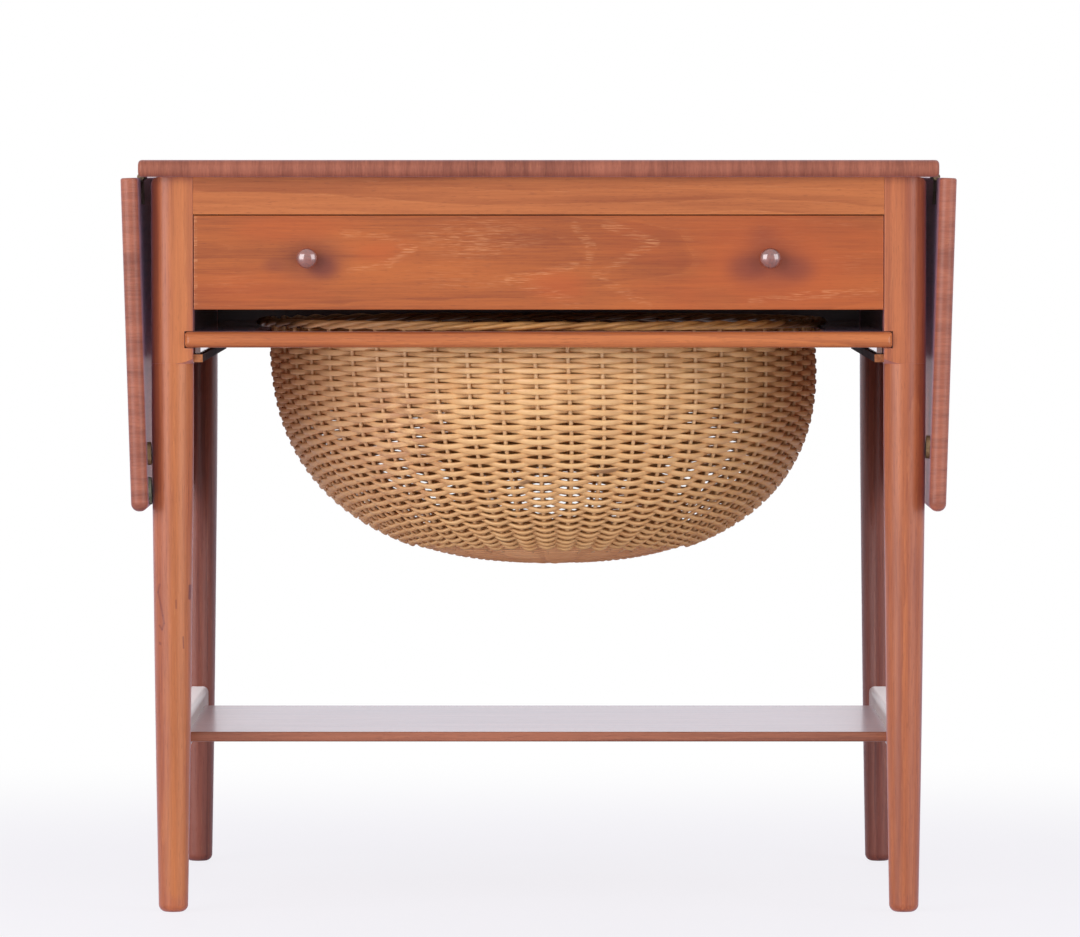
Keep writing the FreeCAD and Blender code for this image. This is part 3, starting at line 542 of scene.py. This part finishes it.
@dataclass(frozen=True)
class Matt(Finish):
    """Rubber or felt: rough, mottled, with a fine or a woolly relief."""

    name: str
    light: Colour
    dark: Colour
    grain: float
    relief: float
    rough: float = 0.85

    def draw(self, sketch: Sketch) -> None:
        """Mottled tone and relief of one grain size."""
        place = sketch.place()
        fine = sketch.noise(place, self.grain, 4.0, 0.65)
        broad = sketch.noise(place, self.grain / 9, 2.0)
        tone = sketch.mix((fine * 0.6 + broad * 0.4).between(0.35, 0.65), self.light, self.dark)
        sketch.surface(Base_Color=tone, Roughness=self.rough + (fine - 0.5) * 0.2,
                       Normal=sketch.bump(fine, self.relief, 0.7))


def grid_mesh(name: str, points: np.ndarray, strand_map: np.ndarray, around: bool = True) -> bpy.types.Object:
    """Mesh from a grid of points.

    Args:
        name: name of the new object.
        points: array of rows, columns and 3 coordinates, in metres.
        strand_map: array of rows, columns + 1 and 2 numbers for the strand's map.
        around: whether the last column joins the first.

    Returns:
        The object, at the origin, smooth shaded, with both ends closed if its columns go around.
    """
    rows, columns = points.shape[:2]
    steps = columns if around else columns - 1
    row, column = np.meshgrid(np.arange(rows - 1), np.arange(steps), indexing="ij")
    beside = (column + 1) % columns
    corners = np.stack([row * columns + column, row * columns + beside,
                        (row + 1) * columns + beside, (row + 1) * columns + column], axis=-1).reshape(-1, 4)
    faces = corners.tolist()
    uv = np.stack([strand_map[row, column], strand_map[row, column + 1],
                   strand_map[row + 1, column + 1], strand_map[row + 1, column]], axis=2).reshape(-1, 2)
    if around:
        faces.append(list(range(columns - 1, -1, -1)))
        faces.append(list(range((rows - 1) * columns, rows * columns)))
        uv = np.concatenate([uv, strand_map[0, columns - 1::-1][:columns], strand_map[-1, :columns]])
    mesh = bpy.data.meshes.new(name)
    mesh.from_pydata(points.reshape(-1, 3).tolist(), [], faces)
    layer = mesh.uv_layers.new(name="strand")
    layer.data.foreach_set("uv", uv.astype(np.float32).ravel())
    mesh.polygons.foreach_set("use_smooth", np.ones(len(faces), dtype=bool))
    mesh.validate()
    made = bpy.data.objects.new(name, mesh)
    bpy.context.scene.collection.objects.link(made)
    return made


def joined(name: str, parts: Sequence[bpy.types.Object]) -> bpy.types.Object:
    """Several meshes joined into the first one, under one name."""
    bpy.ops.object.select_all(action="DESELECT")
    for part in parts:
        part.select_set(True)
    bpy.context.view_layer.objects.active = parts[0]
    bpy.ops.object.join()
    parts[0].name = name
    parts[0].data.name = name
    return parts[0]


def strand(name: str, path: np.ndarray, tall: np.ndarray, thick: np.ndarray, up: np.ndarray,
           sides: int = 8, start: float = 0.0, full: float = 1.0) -> bpy.types.Object:
    """A strand of rounded section carried along a path.

    The section at each point is up·tall·cos(v)^full + out·thick·sin(v)^full, where out stands square
    to the path and to up, and each power keeps its number's sign.

    Args:
        name: name of the new object.
        path: points of the strand's middle, one row each.
        tall: half the section's size along up at each point.
        thick: half its size across.
        up: unit directions of the section's height.
        sides: corners of the section.
        start: length already run, so that the pattern doesn't start alike on each strand.
        full: 1 for an oval section, less for a fuller one with flatter faces.

    Returns:
        The strand as a closed mesh.
    """
    run = np.gradient(path, axis=0)
    run /= np.linalg.norm(run, axis=1, keepdims=True)
    out = np.cross(run, up)
    out /= np.linalg.norm(out, axis=1, keepdims=True)
    high = np.cross(out, run)
    turn = np.arange(sides) / sides * TURN
    across = np.sign(np.cos(turn)) * np.abs(np.cos(turn)) ** full
    ahead = np.sign(np.sin(turn)) * np.abs(np.sin(turn)) ** full
    ring = (high[:, None] * (across[None, :, None] * tall[:, None, None])
            + out[:, None] * (ahead[None, :, None] * thick[:, None, None]))
    length = start + np.concatenate([[0], np.cumsum(np.linalg.norm(np.diff(path, axis=0), axis=1))])
    strand_map = np.stack(np.broadcast_arrays(length[:, None], np.linspace(0, 1, sides + 1)[None]), axis=-1)
    return grid_mesh(name, path[:, None] + ring, strand_map)


def smooth_noise(rng: np.random.Generator, places: np.ndarray, step: float, size: float) -> np.ndarray:
    """Random values one step apart, read between them along smooth arcs.

    Args:
        rng: seeded source of the values.
        places: where the noise is wanted, from 0 up.
        step: distance between random values.
        size: their spread to each side.

    Returns:
        The noise at the places.
    """
    share = places / step
    low = np.floor(share).astype(int)
    values = rng.uniform(-size, size, low.max() + 2)
    blend = (1 - np.cos((share - low) * math.pi)) / 2
    return values[low] * (1 - blend) + values[low + 1] * blend


@dataclass
class Basket:
    """Woven cane basket: stakes, one weaver that spirals down, a tight woven base and a plaited border.

    Slack rows and the belly are each a bell over the share of the wall's length down to the
    base, given by its middle and its spread. Pinches are shares of the weaver's pinch.
    """

    middle: tuple[float, float] = (0.0023, -0.021)
    top: float = 0.4657
    shoulder: float = 0.4450
    radius: float = 0.2220
    deep: float = 0.1730
    power: float = 2.39
    lean: float = 0.0089
    stakes: int = 51
    stake_thick: float = 0.0034
    swing: float = 0.0031
    first_row: float = 0.004
    row_pitch: float = 0.00415
    row_slack: float = 0.00060
    slack: tuple[float, float] = (0.79, 0.12)
    belly: tuple[float, float] = (0.81, 0.13)
    weaver_tall: float = 0.0045
    weaver_crest: float = 0.0003
    weaver_pinch: float = 0.0014
    weaver_thick: float = 0.0026
    weaver_slim: float = 0.15
    front_pinch: float = 0.9
    rear_pinch: float = 0.7
    rear_tall: float = 0.12
    base_radius: float = 0.118
    base_pitch: float = 0.0031
    base_spokes: int = 17
    base_swing: float = 0.0010
    base_thick: float = 0.0013
    border_radius: float = 0.2285
    border_lift: float = 0.0040
    border_swing: tuple[float, float] = (0.0050, 0.0018)
    border_section: tuple[float, float] = (0.0025, 0.0020)
    border_turns: int = 17
    border_strands: int = 3
    weaver_cane: Cane = Cane("cane_weaver")
    stake_cane: Cane = Cane("cane_stakes", screen(240, 202, 150), screen(208, 164, 114), stain=0.2)
    base_cane: Cane = Cane("cane_base", screen(246, 194, 140), screen(214, 154, 106), stain=0.0, shine=0.5)
    # The border is painted darker towards the back: painted shade from the case.
    border_cane: Cane = Cane("cane_border", screen(236, 182, 110), screen(116, 72, 38), stain=0.0, age_and_shade=0.8)
    rng: np.random.Generator = field(default_factory=lambda: np.random.default_rng(51))

    def __post_init__(self) -> None:
        """Work the wall's profile out once, by length from the rim down.

        Below the shoulder it is a superellipse: radius·cos(t)^(2/power) out and
        deep·sin(t)^(2/power) down.
        """
        turn = np.linspace(0, math.pi / 2, 400)
        radius = self.radius * np.cos(turn) ** (2 / self.power)
        height = self.shoulder - self.deep * np.sin(turn) ** (2 / self.power)
        self.wall_radius = np.concatenate([[self.radius], radius])
        self.wall_height = np.concatenate([[self.top], height])
        steps = np.hypot(np.diff(self.wall_radius), np.diff(self.wall_height))
        self.wall_length = np.concatenate([[0], np.cumsum(steps)])

    def wall(self, down: np.ndarray, turn: np.ndarray, off: Union[np.ndarray, float] = 0.0
             ) -> tuple[np.ndarray, np.ndarray]:
        """Points of the wall: a superellipse turned about the basket's middle, leaning as it goes down.

        Args:
            down: length from the rim down the wall.
            turn: angle round the basket.
            off: distance outwards from the middle of the wall.

        Returns:
            The points, and the unit directions up the wall there.
        """
        radius = np.interp(down, self.wall_length, self.wall_radius)
        height = np.interp(down, self.wall_length, self.wall_height)
        step = 0.003
        slope_r = radius - np.interp(down + step, self.wall_length, self.wall_radius)
        slope_z = height - np.interp(down + step, self.wall_length, self.wall_height)
        size = np.maximum(np.hypot(slope_r, slope_z), 1e-9)
        up_r, up_z = slope_r / size, slope_z / size
        radius = radius + up_z * off
        height = height - up_r * off
        sunk = np.clip((self.top - height) / (self.top - self.wall_height[-1]), 0, 1) ** 0.9
        across, ahead = np.cos(turn), np.sin(turn)
        points = np.stack([self.middle[0] + radius * across + self.lean * sunk,
                           self.middle[1] + radius * ahead, height], axis=-1)
        return points, np.stack([up_r * across, up_r * ahead, up_z], axis=-1)

    def base_start(self) -> float:
        """Length down the wall at which the tight base begins."""
        return float(np.interp(-self.base_radius, -self.wall_radius[1:], self.wall_length[1:]))

    def row_places(self) -> np.ndarray:
        """Length down the wall of each row of the weaver, until the base begins.

        A row's pitch is row_pitch + row_slack·bell(share of the way), so that rows lie close at
        the rim and looser on the belly.
        """
        end = self.base_start()
        places = [self.first_row]
        middle, spread = self.slack
        while places[-1] < end:
            share = places[-1] / end
            loose = math.exp(-((share - middle) / spread) ** 2)
            places.append(places[-1] + self.row_pitch + self.row_slack * loose)
        return np.array(places)

    def weave(self) -> list[bpy.types.Object]:
        """The weaver: over one stake and under the next, its swing being swing·cos(stakes·turn/2).

        It strays a little up and down, more so on the belly, where it is also slimmer. Behind a
        stake it is pinched: everywhere at the front, but only on the belly at the back, where the
        other rows are taller instead, so that no light comes through them.

        Returns:
            The weaver in three lengths, from the rim down.
        """
        rows = self.row_places()
        per_row = self.stakes * 6
        turn = np.arange((len(rows) - 1) * per_row + 1) / per_row * TURN
        down = np.interp(turn / TURN, np.arange(len(rows)), rows)
        half_wave = TURN / self.stakes
        middle, spread = self.belly
        belly = np.exp(-((down / self.base_start() - middle) / spread) ** 2)
        loose = 0.5 + belly
        down = down + smooth_noise(self.rng, turn, half_wave, 0.0003) * loose
        down = down + smooth_noise(self.rng, turn, half_wave * 7.3, 0.0004) * loose
        beat = np.cos(turn * self.stakes / 2)
        slim = 1 - self.weaver_slim * belly
        rear = np.sin(turn)
        pinch = self.weaver_pinch * np.where(rear > 0, self.rear_pinch * belly ** 2, self.front_pinch)
        path, up = self.wall(down, turn, beat * self.swing)
        front, behind = np.clip(beat, 0, 1), np.clip((-beat - 0.1) / 0.9, 0, 1)
        tall = (self.weaver_tall + self.weaver_crest * front - pinch * behind ** 1.5) / 2 * slim
        tall = tall * (1 + smooth_noise(self.rng, turn, half_wave * 3.1, 0.08))
        tall = tall * (1 + self.rear_tall * np.clip(rear * 3, 0, 1) * (1 - belly))
        thick = np.full(len(path), self.weaver_thick / 2)
        cuts = np.linspace(0, len(path) - 1, 4).astype(int)
        made = []
        for part, low, high, place in zip(("upper", "middle", "lower"), cuts, cuts[1:], (0.0, 31.0, 57.0)):
            made.append(strand("basket_weave_" + part, path[low:high + 1], tall[low:high + 1],
                               thick[low:high + 1], up[low:high + 1], 10, place, 0.75))
        return made

    def stake_bundle(self) -> bpy.types.Object:
        """Stakes down the wall at even turns, each straying a little, until the base hides them."""
        count = 64
        down = np.linspace(-0.001, self.base_start() + 0.02, count)
        made = []
        for index in range(self.stakes):
            stray = smooth_noise(self.rng, np.linspace(0, 5, count), 1.0, 0.004)
            turn = TURN * index / self.stakes + stray
            path, _ = self.wall(np.maximum(down, 0), turn)
            path[0, 2] += 0.001
            facing = turn.mean()
            beside = np.broadcast_to([-math.sin(facing), math.cos(facing), 0], path.shape)
            half = np.full(count, self.stake_thick / 2)
            made.append(strand("stake_%d" % index, path, half, half, beside, 6, 2.7 * index))
        return joined("basket_stakes", made)

    def base(self) -> bpy.types.Object:
        """Tight base: a flat weaver that spirals in, swinging by cos(spokes·turn/2), and the knot."""
        start, end = self.base_start() - 0.003, self.wall_length[-1] - 0.006
        count = int((end - start) / self.base_pitch)
        per_row = 72
        turn = np.arange(count * per_row + 1) / per_row * TURN
        down = np.linspace(start, end, len(turn))
        down = down + smooth_noise(self.rng, turn, TURN / self.base_spokes, 0.0005)
        beat = np.cos(turn * self.base_spokes / 2)
        fade = np.clip((end - down) / 0.02, 0, 1)
        path, up = self.wall(down, turn, beat * self.base_swing * fade)
        path[:, 2] += smooth_noise(self.rng, turn % TURN, TURN / 24, 0.0006)
        tall = np.full(len(path), self.base_pitch * 0.62)
        thick = np.full(len(path), self.base_thick)
        spiral = strand("basket_base_spiral", path, tall, thick, up, 6)
        return joined("basket_base", [spiral, self.knot()])

    def knot(self) -> bpy.types.Object:
        """The lump of crossed spoke ends under the middle, its size being sqrt(1 - along^4)."""
        count = 25
        along = np.linspace(-1, 1, count)
        size = np.sqrt(np.clip(1 - along ** 4, 0.0004, 1))
        low = self.wall_height[-1]
        x = self.middle[0] + self.lean + along * 0.021
        path = np.stack([x, np.full(count, self.middle[1]), np.full(count, low + 0.0008)], axis=-1)
        up = np.broadcast_to([0.0, 1.0, 0.0], path.shape)
        return strand("basket_knot", path, size * 0.017, size * 0.0035, up, 12)

    def border(self) -> bpy.types.Object:
        """Plaited border: strands whose radius and height are cos and sin of their turns about the rim."""
        made = []
        count = self.stakes * 16
        around = np.arange(count + 1) / count * TURN
        across, ahead = np.cos(around), np.sin(around)
        out = np.stack([across, ahead, np.zeros(len(around))], axis=-1)
        wide, high = self.border_section
        for index in range(self.border_strands):
            twist = around * self.border_turns + TURN * index / self.border_strands
            radius = self.border_radius + self.border_swing[0] * np.cos(twist)
            height = self.top + self.border_lift + self.border_swing[1] * np.sin(twist)
            path = np.stack([self.middle[0] + radius * across,
                             self.middle[1] + radius * ahead, height], axis=-1)
            swell = 1 + smooth_noise(self.rng, around, TURN / 60, 0.10)
            made.append(strand("border_%d" % index, path, wide * swell, high * swell, out, 8,
                               3.1 * index))
        return joined("basket_border_plait", made)

    def build(self) -> None:
        """Make, dress and place every piece of the basket."""
        weave = self.weave()
        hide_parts("basket_body")
        border = self.border()
        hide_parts("basket_border")
        for piece, finish in [(piece, self.weaver_cane) for piece in weave] + [
                (self.stake_bundle(), self.stake_cane), (self.base(), self.base_cane),
                (border, self.border_cane)]:
            piece.data.materials.clear()
            piece.data.materials.append(finish.material())
            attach(piece, "tray")
            log.info("%s: %d faces", piece.name, len(piece.data.polygons))


@dataclass
class Joinery:
    """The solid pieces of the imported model, each with its own cut of wood or its metal."""

    brass: Metal = Metal("aged_brass", (0.34, 0.26, 0.15), (0.12, 0.09, 0.06))
    steel: Metal = Metal("plain_steel", (0.58, 0.57, 0.55), (0.34, 0.31, 0.28))
    # Painted shade: grey-brown for the hidden tray rear rail and drawer runners, matched to the shaded gap
    # behind the drawer.
    gap_shade_light: Colour = screen(110, 88, 84)
    gap_shade_dark: Colour = screen(72, 58, 58)

    def drawer_front(self) -> Teak:
        """The drawer front: handling marks and painted shadow about its knobs, pale flames, warm patches."""
        # Darkening about the knobs: handling marks, and painted shadow below and beside them.
        wear_and_shadow = (
            Patch(-0.183, 0.5235, 0.03, 0.022, 0.4), Patch(-0.173, 0.5175, 0.014, 0.01, 0.7),
            Patch(-0.212, 0.519, 0.012, 0.007, 0.4), Patch(0.185, 0.5235, 0.04, 0.026, 0.5),
            Patch(0.166, 0.5165, 0.02, 0.012, 0.4), Patch(0.205, 0.516, 0.018, 0.012, 0.4),
            Patch(0.18, 0.542, 0.022, 0.014, 0.3))
        pale: tuple[Mark, ...] = (
            Patch(-0.0474, 0.5379, 0.06, 0.02, 0.65), Patch(-0.05, 0.506, 0.07, 0.012, 0.4),
            Patch(0.25, 0.518, 0.026, 0.014, 0.3), Patch(-0.24, 0.505, 0.03, 0.012, 0.3),
            # Pale line down the left edge: rubbing on the arris and a painted highlight.
            Trail((-0.2742, 0.488), (-0.2742, 0.56), 0.0024, 1.0))
        flames = (
            ((0.0533, 0.5523), (0.0933, 0.5371), (0.0461, 0.5107), (0.0877, 0.4859)),
            ((0.0285, 0.5507), (0.0421, 0.5339), (0.0389, 0.5187)),
            ((-0.1554, 0.5443), (-0.1234, 0.5411), (-0.1002, 0.5323), (-0.1194, 0.5203), (-0.1514, 0.5155)),
            ((0.03, 0.52), (-0.0234, 0.5067), (0.03, 0.4883)),
            ((0.17, 0.49), (0.23, 0.496), (0.27, 0.498)))
        for flame in flames:
            pale += trails(flame, 0.0055, 0.6)
        warm = (
            Patch(-0.129, 0.531, 0.03, 0.013, 0.45), Patch(0.012, 0.5035, 0.03, 0.015, 0.45),
            Patch(0.2, 0.5187, 0.13, 0.06, 0.5), Patch(-0.23, 0.5, 0.06, 0.02, 0.35),
            Patch(-0.2, 0.55, 0.06, 0.012, 0.35))
        return Teak(
            "teak_drawer_front", Along.WIDTH, (-0.24, 0.534), (-0.085, 0.0), ring=0.0082, flame=0.1,
            wild=0.014, light=screen(188, 102, 44), dark=screen(136, 64, 28), pale=0.5, edging=0.25,
            mottle=1.3, lines=1.0, stains_and_shade=wear_and_shadow, flecks=pale, glows=warm, seed=5.2)

    def front_leg(self, side: str, sign: int, seed: float) -> Teak:
        """A front leg: lighter along its inner side; the left one with scratches and painted shade on its
        outer side.
        """
        stains_and_shade: tuple[Mark, ...] = ()
        if sign < 0:
            scratch = ((-0.3033, 0.2634), (-0.3047, 0.2572), (-0.3008, 0.2385), (-0.2998, 0.2323),
                       (-0.3014, 0.2273), (-0.3035, 0.2304))
            stains_and_shade = (
                Trail((-0.2792, 0.262), (-0.2796, 0.252), 0.0018, 0.9),
                Trail((-0.2846, 0.2213), (-0.2843, 0.2124), 0.001, 0.6),
                Trail((-0.2902, 0.2508), (-0.29, 0.2446), 0.0012, 0.5),
                Trail((-0.3034, 0.2166), (-0.303, 0.2156), 0.0014, 0.6),
                *trails(scratch, 0.0013, 0.5),
                # Painted shade: dark strip down the outer side, where the hanging leaf shades the leg.
                Trail((-0.307, 0.34), (-0.307, 0.59), 0.0055, 0.4))
        inner = Trail((sign * 0.29, 0.02), (sign * 0.286, 0.58), 0.013, 0.28 if sign < 0 else 0.08)
        return Teak(
            "teak_front_leg_" + side, Along.HEIGHT, (sign * 0.2, -0.1), (sign * 0.02, 0.03),
            light=screen(198, 116, 72), dark=screen(146, 74, 50), polish=0.3, bloom=0.6, stains_and_shade=stains_and_shade,
            glows=(inner,), warm=screen(212, 136, 62), seed=seed)

    def boards(self) -> dict[str, Finish]:
        """Finish of each board that is there only once, and of the two leaves, by name."""
        width, depth = Along.WIDTH, Along.DEPTH
        leaf = Teak(
            "teak_leaf_left", Along.HANGING, (0.36, -0.62), (0.04, 0.03), flame=0.1, flat=0.12,
            light=screen(180, 107, 80), dark=screen(126, 67, 50), shine=0.52, coat=0.5, polish=0.28,
            bloom=0.5, seed=7.7)
        return {
            "top_board": Teak(
                "teak_top", depth, (0.11, 0.42), (0.03, 0.05), flame=0.1, flat=0.12,
                light=screen(174, 105, 80), dark=screen(120, 65, 49), shine=0.54, coat=0.3, polish=0.34,
                bloom=0.3, seed=3.1),
            "leaf_left": leaf,
            "leaf_right": replace(leaf, name="teak_leaf_right", heart=(0.52, 0.58), drift=(0.02, 0.06),
                                  seed=11.9),
            "front_rail": Teak(
                "teak_front_rail", width, (-0.1, 0.7), (0.015, 0.01), light=screen(194, 114, 60),
                dark=screen(154, 80, 38), seed=2.3),
            "drawer_front": self.drawer_front(),
            "tray_front_rail": Teak(
                "teak_tray_rail", width, (-0.15, 0.62), (0.01, 0.02), light=screen(206, 122, 66),
                dark=screen(160, 84, 44), seed=9.4),
            # Painted shade colour of the gap behind the drawer.
            "tray_rear_rail": Teak(
                "teak_tray_rear", width, (0.15, 0.62), light=self.gap_shade_light, dark=self.gap_shade_dark, coat=0.0,
                seed=1.4),
            # Painted shade: the inner face is painted the dark shade tone.
            "rear_apron": Teak(
                "teak_rear_apron", width, (0.2, 0.35), (0.04, 0.05), shade_within=(1, 0.259), seed=6.6),
            "shelf": Teak(
                "teak_shelf", width, (0.1, 0.02), (0.04, 0.02), light=screen(176, 108, 78),
                dark=screen(132, 74, 50), shine=0.44, coat=1.0, polish=0.21, bloom=0.4,
                haze=screen(216, 222, 236), seed=4.8),
            "drawer_back": PaleWood("pale_drawer_back", width),
            "drawer_bottom": Plywood(),
            "drawer_divider_long": PaleWood("pale_divider_long", width),
            "drawer_dividers_short": PaleWood("pale_dividers_short", depth),
        }

    def side_boards(self, side: str, sign: int) -> dict[str, Finish]:
        """Finish of each wooden piece that stands once on each side.

        Args:
            side: left or right.
            sign: -1 on the left and 1 on the right.

        Returns:
            The finishes, by the pieces' names.
        """
        depth = Along.DEPTH
        seed = 13.0 + sign * 4.3
        made: dict[str, Finish] = {
            "front_leg": self.front_leg(side, sign, seed),
            # Painted shade: the rear legs get darker colours than the front legs, as they stand in shade.
            "rear_leg": Teak(
                "teak_rear_leg_shaded_" + side, Along.HEIGHT, (sign * 0.42, 0.1), (0.02, sign * 0.02),
                light=screen(152, 86, 68), dark=screen(106, 56, 50), bloom=0.35, seed=seed + 1.7),
            # Painted shade: the inner face is painted the dark shade tone.
            "side_apron": Teak(
                "teak_side_apron_" + side, depth, (sign * 0.2, 0.4), shade_within=(0, 0.2767), seed=seed + 2.9),
            "stretcher": Teak(
                "teak_stretcher_" + side, depth, (sign * 0.24, 0.05), coat=1.0, polish=0.15, gloss=2.0,
                bloom=1.0, haze=(1.0, 1.0, 1.0), seed=seed + 3.7),
            "tray_side_rail": Teak(
                "teak_tray_side_" + side, depth, (sign * 0.1, 0.3), shine=0.2, coat=1.0, polish=0.05,
                gloss=2.0, seed=seed + 4.1),
            "knob": Teak(
                "teak_knob_" + side, depth, (sign * 0.2, 0.5), (0.05, 0.05), ring=0.003,
                light=screen(146, 70, 46), dark=screen(98, 42, 30), shine=0.3, coat=1.0, polish=0.1,
                gloss=2.2, seed=seed + 5.3),
            # Painted shade: all but the runner's front end is painted the dark shade tone.
            "tray_runner": Teak(
                "teak_tray_runner_" + side, depth, (sign * 0.1, 0.3), light=screen(186, 122, 78),
                dark=screen(136, 80, 50), shine=0.8, coat=0.0, bloom=0.0, shade_within=(1, 0.2702), seed=seed + 6.1),
            # Painted shade colour of the gap behind the drawer.
            "drawer_runner": Teak(
                "teak_drawer_runner_" + side, depth, (sign * 0.1, 0.3), light=self.gap_shade_light,
                dark=self.gap_shade_dark, coat=0.0, seed=seed + 7.3),
            "top_cleat": PaleWood("pale_top_cleat_" + side, depth),
            "drawer_side": PaleWood("pale_drawer_side_" + side, depth),
        }
        return {name + "_" + side: finish for name, finish in made.items()}

    def fittings(self) -> dict[str, Finish]:
        """Finish of each piece of metal, rubber and felt, by name."""
        rubber = Matt("aged_rubber", screen(176, 152, 108), screen(128, 104, 70), 260.0, 0.0002, 0.6)
        felt = Matt("grey_green_felt", screen(150, 160, 138), screen(104, 116, 96), 520.0, 0.0006, 0.95)
        made: dict[str, Finish] = {"felt_pad_left": felt}
        for side in ("left", "right"):
            for name in ("hinge_top_plates", "hinge_leaf_plates", "hinge_pins", "leaf_screws",
                         "prop_bracket", "prop_arm", "prop_pin", "prop_stop"):
                made[name + "_" + side] = self.brass
            made["bumpers_" + side] = rubber
        for name in ("hinge_top_screws", "prop_bracket_screws"):
            made[name] = self.brass
        for name in ("top_screws", "runner_screws", "drawer_bottom_screws"):
            made[name] = self.steel
        return made

    def finishes(self) -> dict[str, Finish]:
        """Finish of every solid node, by name."""
        return {**self.boards(), **self.side_boards("left", -1), **self.side_boards("right", 1),
                **self.fittings()}

    def dress(self, nodes: dict[str, bpy.types.Object]) -> None:
        """Give every solid node its finish."""
        for name, finish in self.finishes().items():
            mesh = nodes[name].data
            if not mesh.materials:
                mesh.materials.append(None)
            for index in range(len(mesh.materials)):
                mesh.materials[index] = finish.material()
            log.info("%s: %s", name, finish.name)


@dataclass(frozen=True)
class Lamp:
    """A soft lamp with a flat white front, aimed at the table."""

    name: str
    place: tuple[float, float, float]
    wide: float
    high: float
    power: float
    colour: Colour


@dataclass
class Studio:
    """Pale floor, white surroundings, soft lamps and the camera."""

    eye: tuple[float, float, float] = (0.0011, -7.25, 0.596)
    pitch_down: float = 1.9674
    lens: float = 290.9
    floor_half: float = 6.0
    lamps: tuple[Lamp, ...] = (
        Lamp("left_lamp", (-2.95, -3.25, 1.3), 3.6, 3.0, 120.0, (1.0, 0.97, 1.0)),
        Lamp("right_lamp", (3.1, -2.8, 1.3), 3.0, 2.8, 66.0, (0.98, 0.97, 1.0)),
    )
    lit: tuple[float, float, float] = (0.0, 0.0, 0.40)
    sky: float = 0.36

    def camera(self) -> None:
        """Camera at the photograph's place: far in front, near the top's height, looking down a little."""
        data = bpy.data.cameras.new("camera")
        data.lens = self.lens
        data.clip_end = 100
        made = bpy.data.objects.new("camera", data)
        made.matrix_world = (Matrix.Translation(self.eye)
                             @ Matrix.Rotation(math.radians(90 - self.pitch_down), 4, "X"))
        bpy.context.scene.collection.objects.link(made)
        bpy.context.scene.camera = made

    def light(self) -> None:
        """Soft lamps aimed at the table's middle."""
        for lamp in self.lamps:
            data = bpy.data.lights.new(lamp.name, "AREA")
            data.shape = "RECTANGLE"
            data.size, data.size_y = lamp.wide, lamp.high
            data.energy = lamp.power
            data.color = lamp.colour
            made = bpy.data.objects.new(lamp.name, data)
            aim = (Vector(self.lit) - Vector(lamp.place)).to_track_quat("-Z", "Y")
            made.matrix_world = Matrix.Translation(lamp.place) @ aim.to_matrix().to_4x4()
            bpy.context.scene.collection.objects.link(made)

    def surroundings(self) -> None:
        """White world: plain white to the eye and in reflections, softer as a light."""
        world = bpy.data.worlds.new("white_room")
        bpy.context.scene.world = world
        world.use_nodes = True
        sketch = Sketch(world.node_tree)
        seen = sketch.node("ShaderNodeLightPath", output="Is Camera Ray")
        mirrored = sketch.node("ShaderNodeLightPath", output="Is Glossy Ray")
        through = sketch.node("ShaderNodeLightPath", output="Is Transmission Ray")
        plain = seen.math("MAXIMUM", seen, mirrored.math("MAXIMUM", mirrored, through))
        power = plain * (1 - self.sky) + self.sky
        tone = sketch.mix(seen, screen(252, 249, 255), (1.0, 1.0, 1.0))
        shade = sketch.node("ShaderNodeBackground", {}, {"Color": tone, "Strength": power})
        sketch.node("ShaderNodeOutputWorld", {}, {"Surface": shade}, None)

    def floor(self) -> None:
        """Pale floor: its own shade and shadow near the table, white farther off."""
        half = self.floor_half
        line = np.linspace(-half, half, 3)
        x, y = np.meshgrid(line, line, indexing="ij")
        points = np.stack([x, y, np.zeros_like(x)], axis=-1)
        floor = grid_mesh("floor", points, np.zeros((3, 3, 2)), around=False)
        finish = bpy.data.materials.new("pale_floor")
        finish.use_nodes = True
        sketch = Sketch(finish.node_tree)
        x, y, _ = sketch.parts(sketch.place())
        smudge = sketch.noise(sketch.vector(x * 1.5, y * 0.35, 0.0), 2.0, 5.0, 0.6)
        tone = sketch.mix(smudge.between(0.35, 0.75), screen(246, 243, 251), screen(232, 229, 240))
        plain = sketch.node("ShaderNodeBsdfPrincipled", {}, {"Base Color": tone, "Roughness": 0.55})
        seen = sketch.node("ShaderNodeLightPath", output="Is Camera Ray")
        far = ((x * x * 0.6 + y * y) ** 0.5).between(0.4, 1.6)
        glow = sketch.mix(far, screen(251, 250, 254), (1.0, 1.0, 1.0))
        white = sketch.node("ShaderNodeEmission", {}, {"Color": glow, "Strength": 1.0})
        share = seen * (0.84 + 0.16 * far)
        both = sketch.node("ShaderNodeMixShader", {}, {0: share, 1: plain, 2: white})
        sketch.node("ShaderNodeOutputMaterial", {}, {"Surface": both}, None)
        floor.data.materials.append(finish)

    def set_up(self) -> None:
        """Camera, lamps, world, floor and the plain view transform."""
        self.camera()
        self.light()
        self.surroundings()
        self.floor()
        bpy.context.scene.view_settings.view_transform = "Standard"


def main() -> None:
    """Build the studio, dress the joinery and weave the basket."""
    logging.basicConfig(level=logging.INFO, format="%(name)s: %(message)s")
    Studio().set_up()
    Joinery().dress(frame["nodes"])
    Basket().build()


if __name__ == "__main__":
    main()
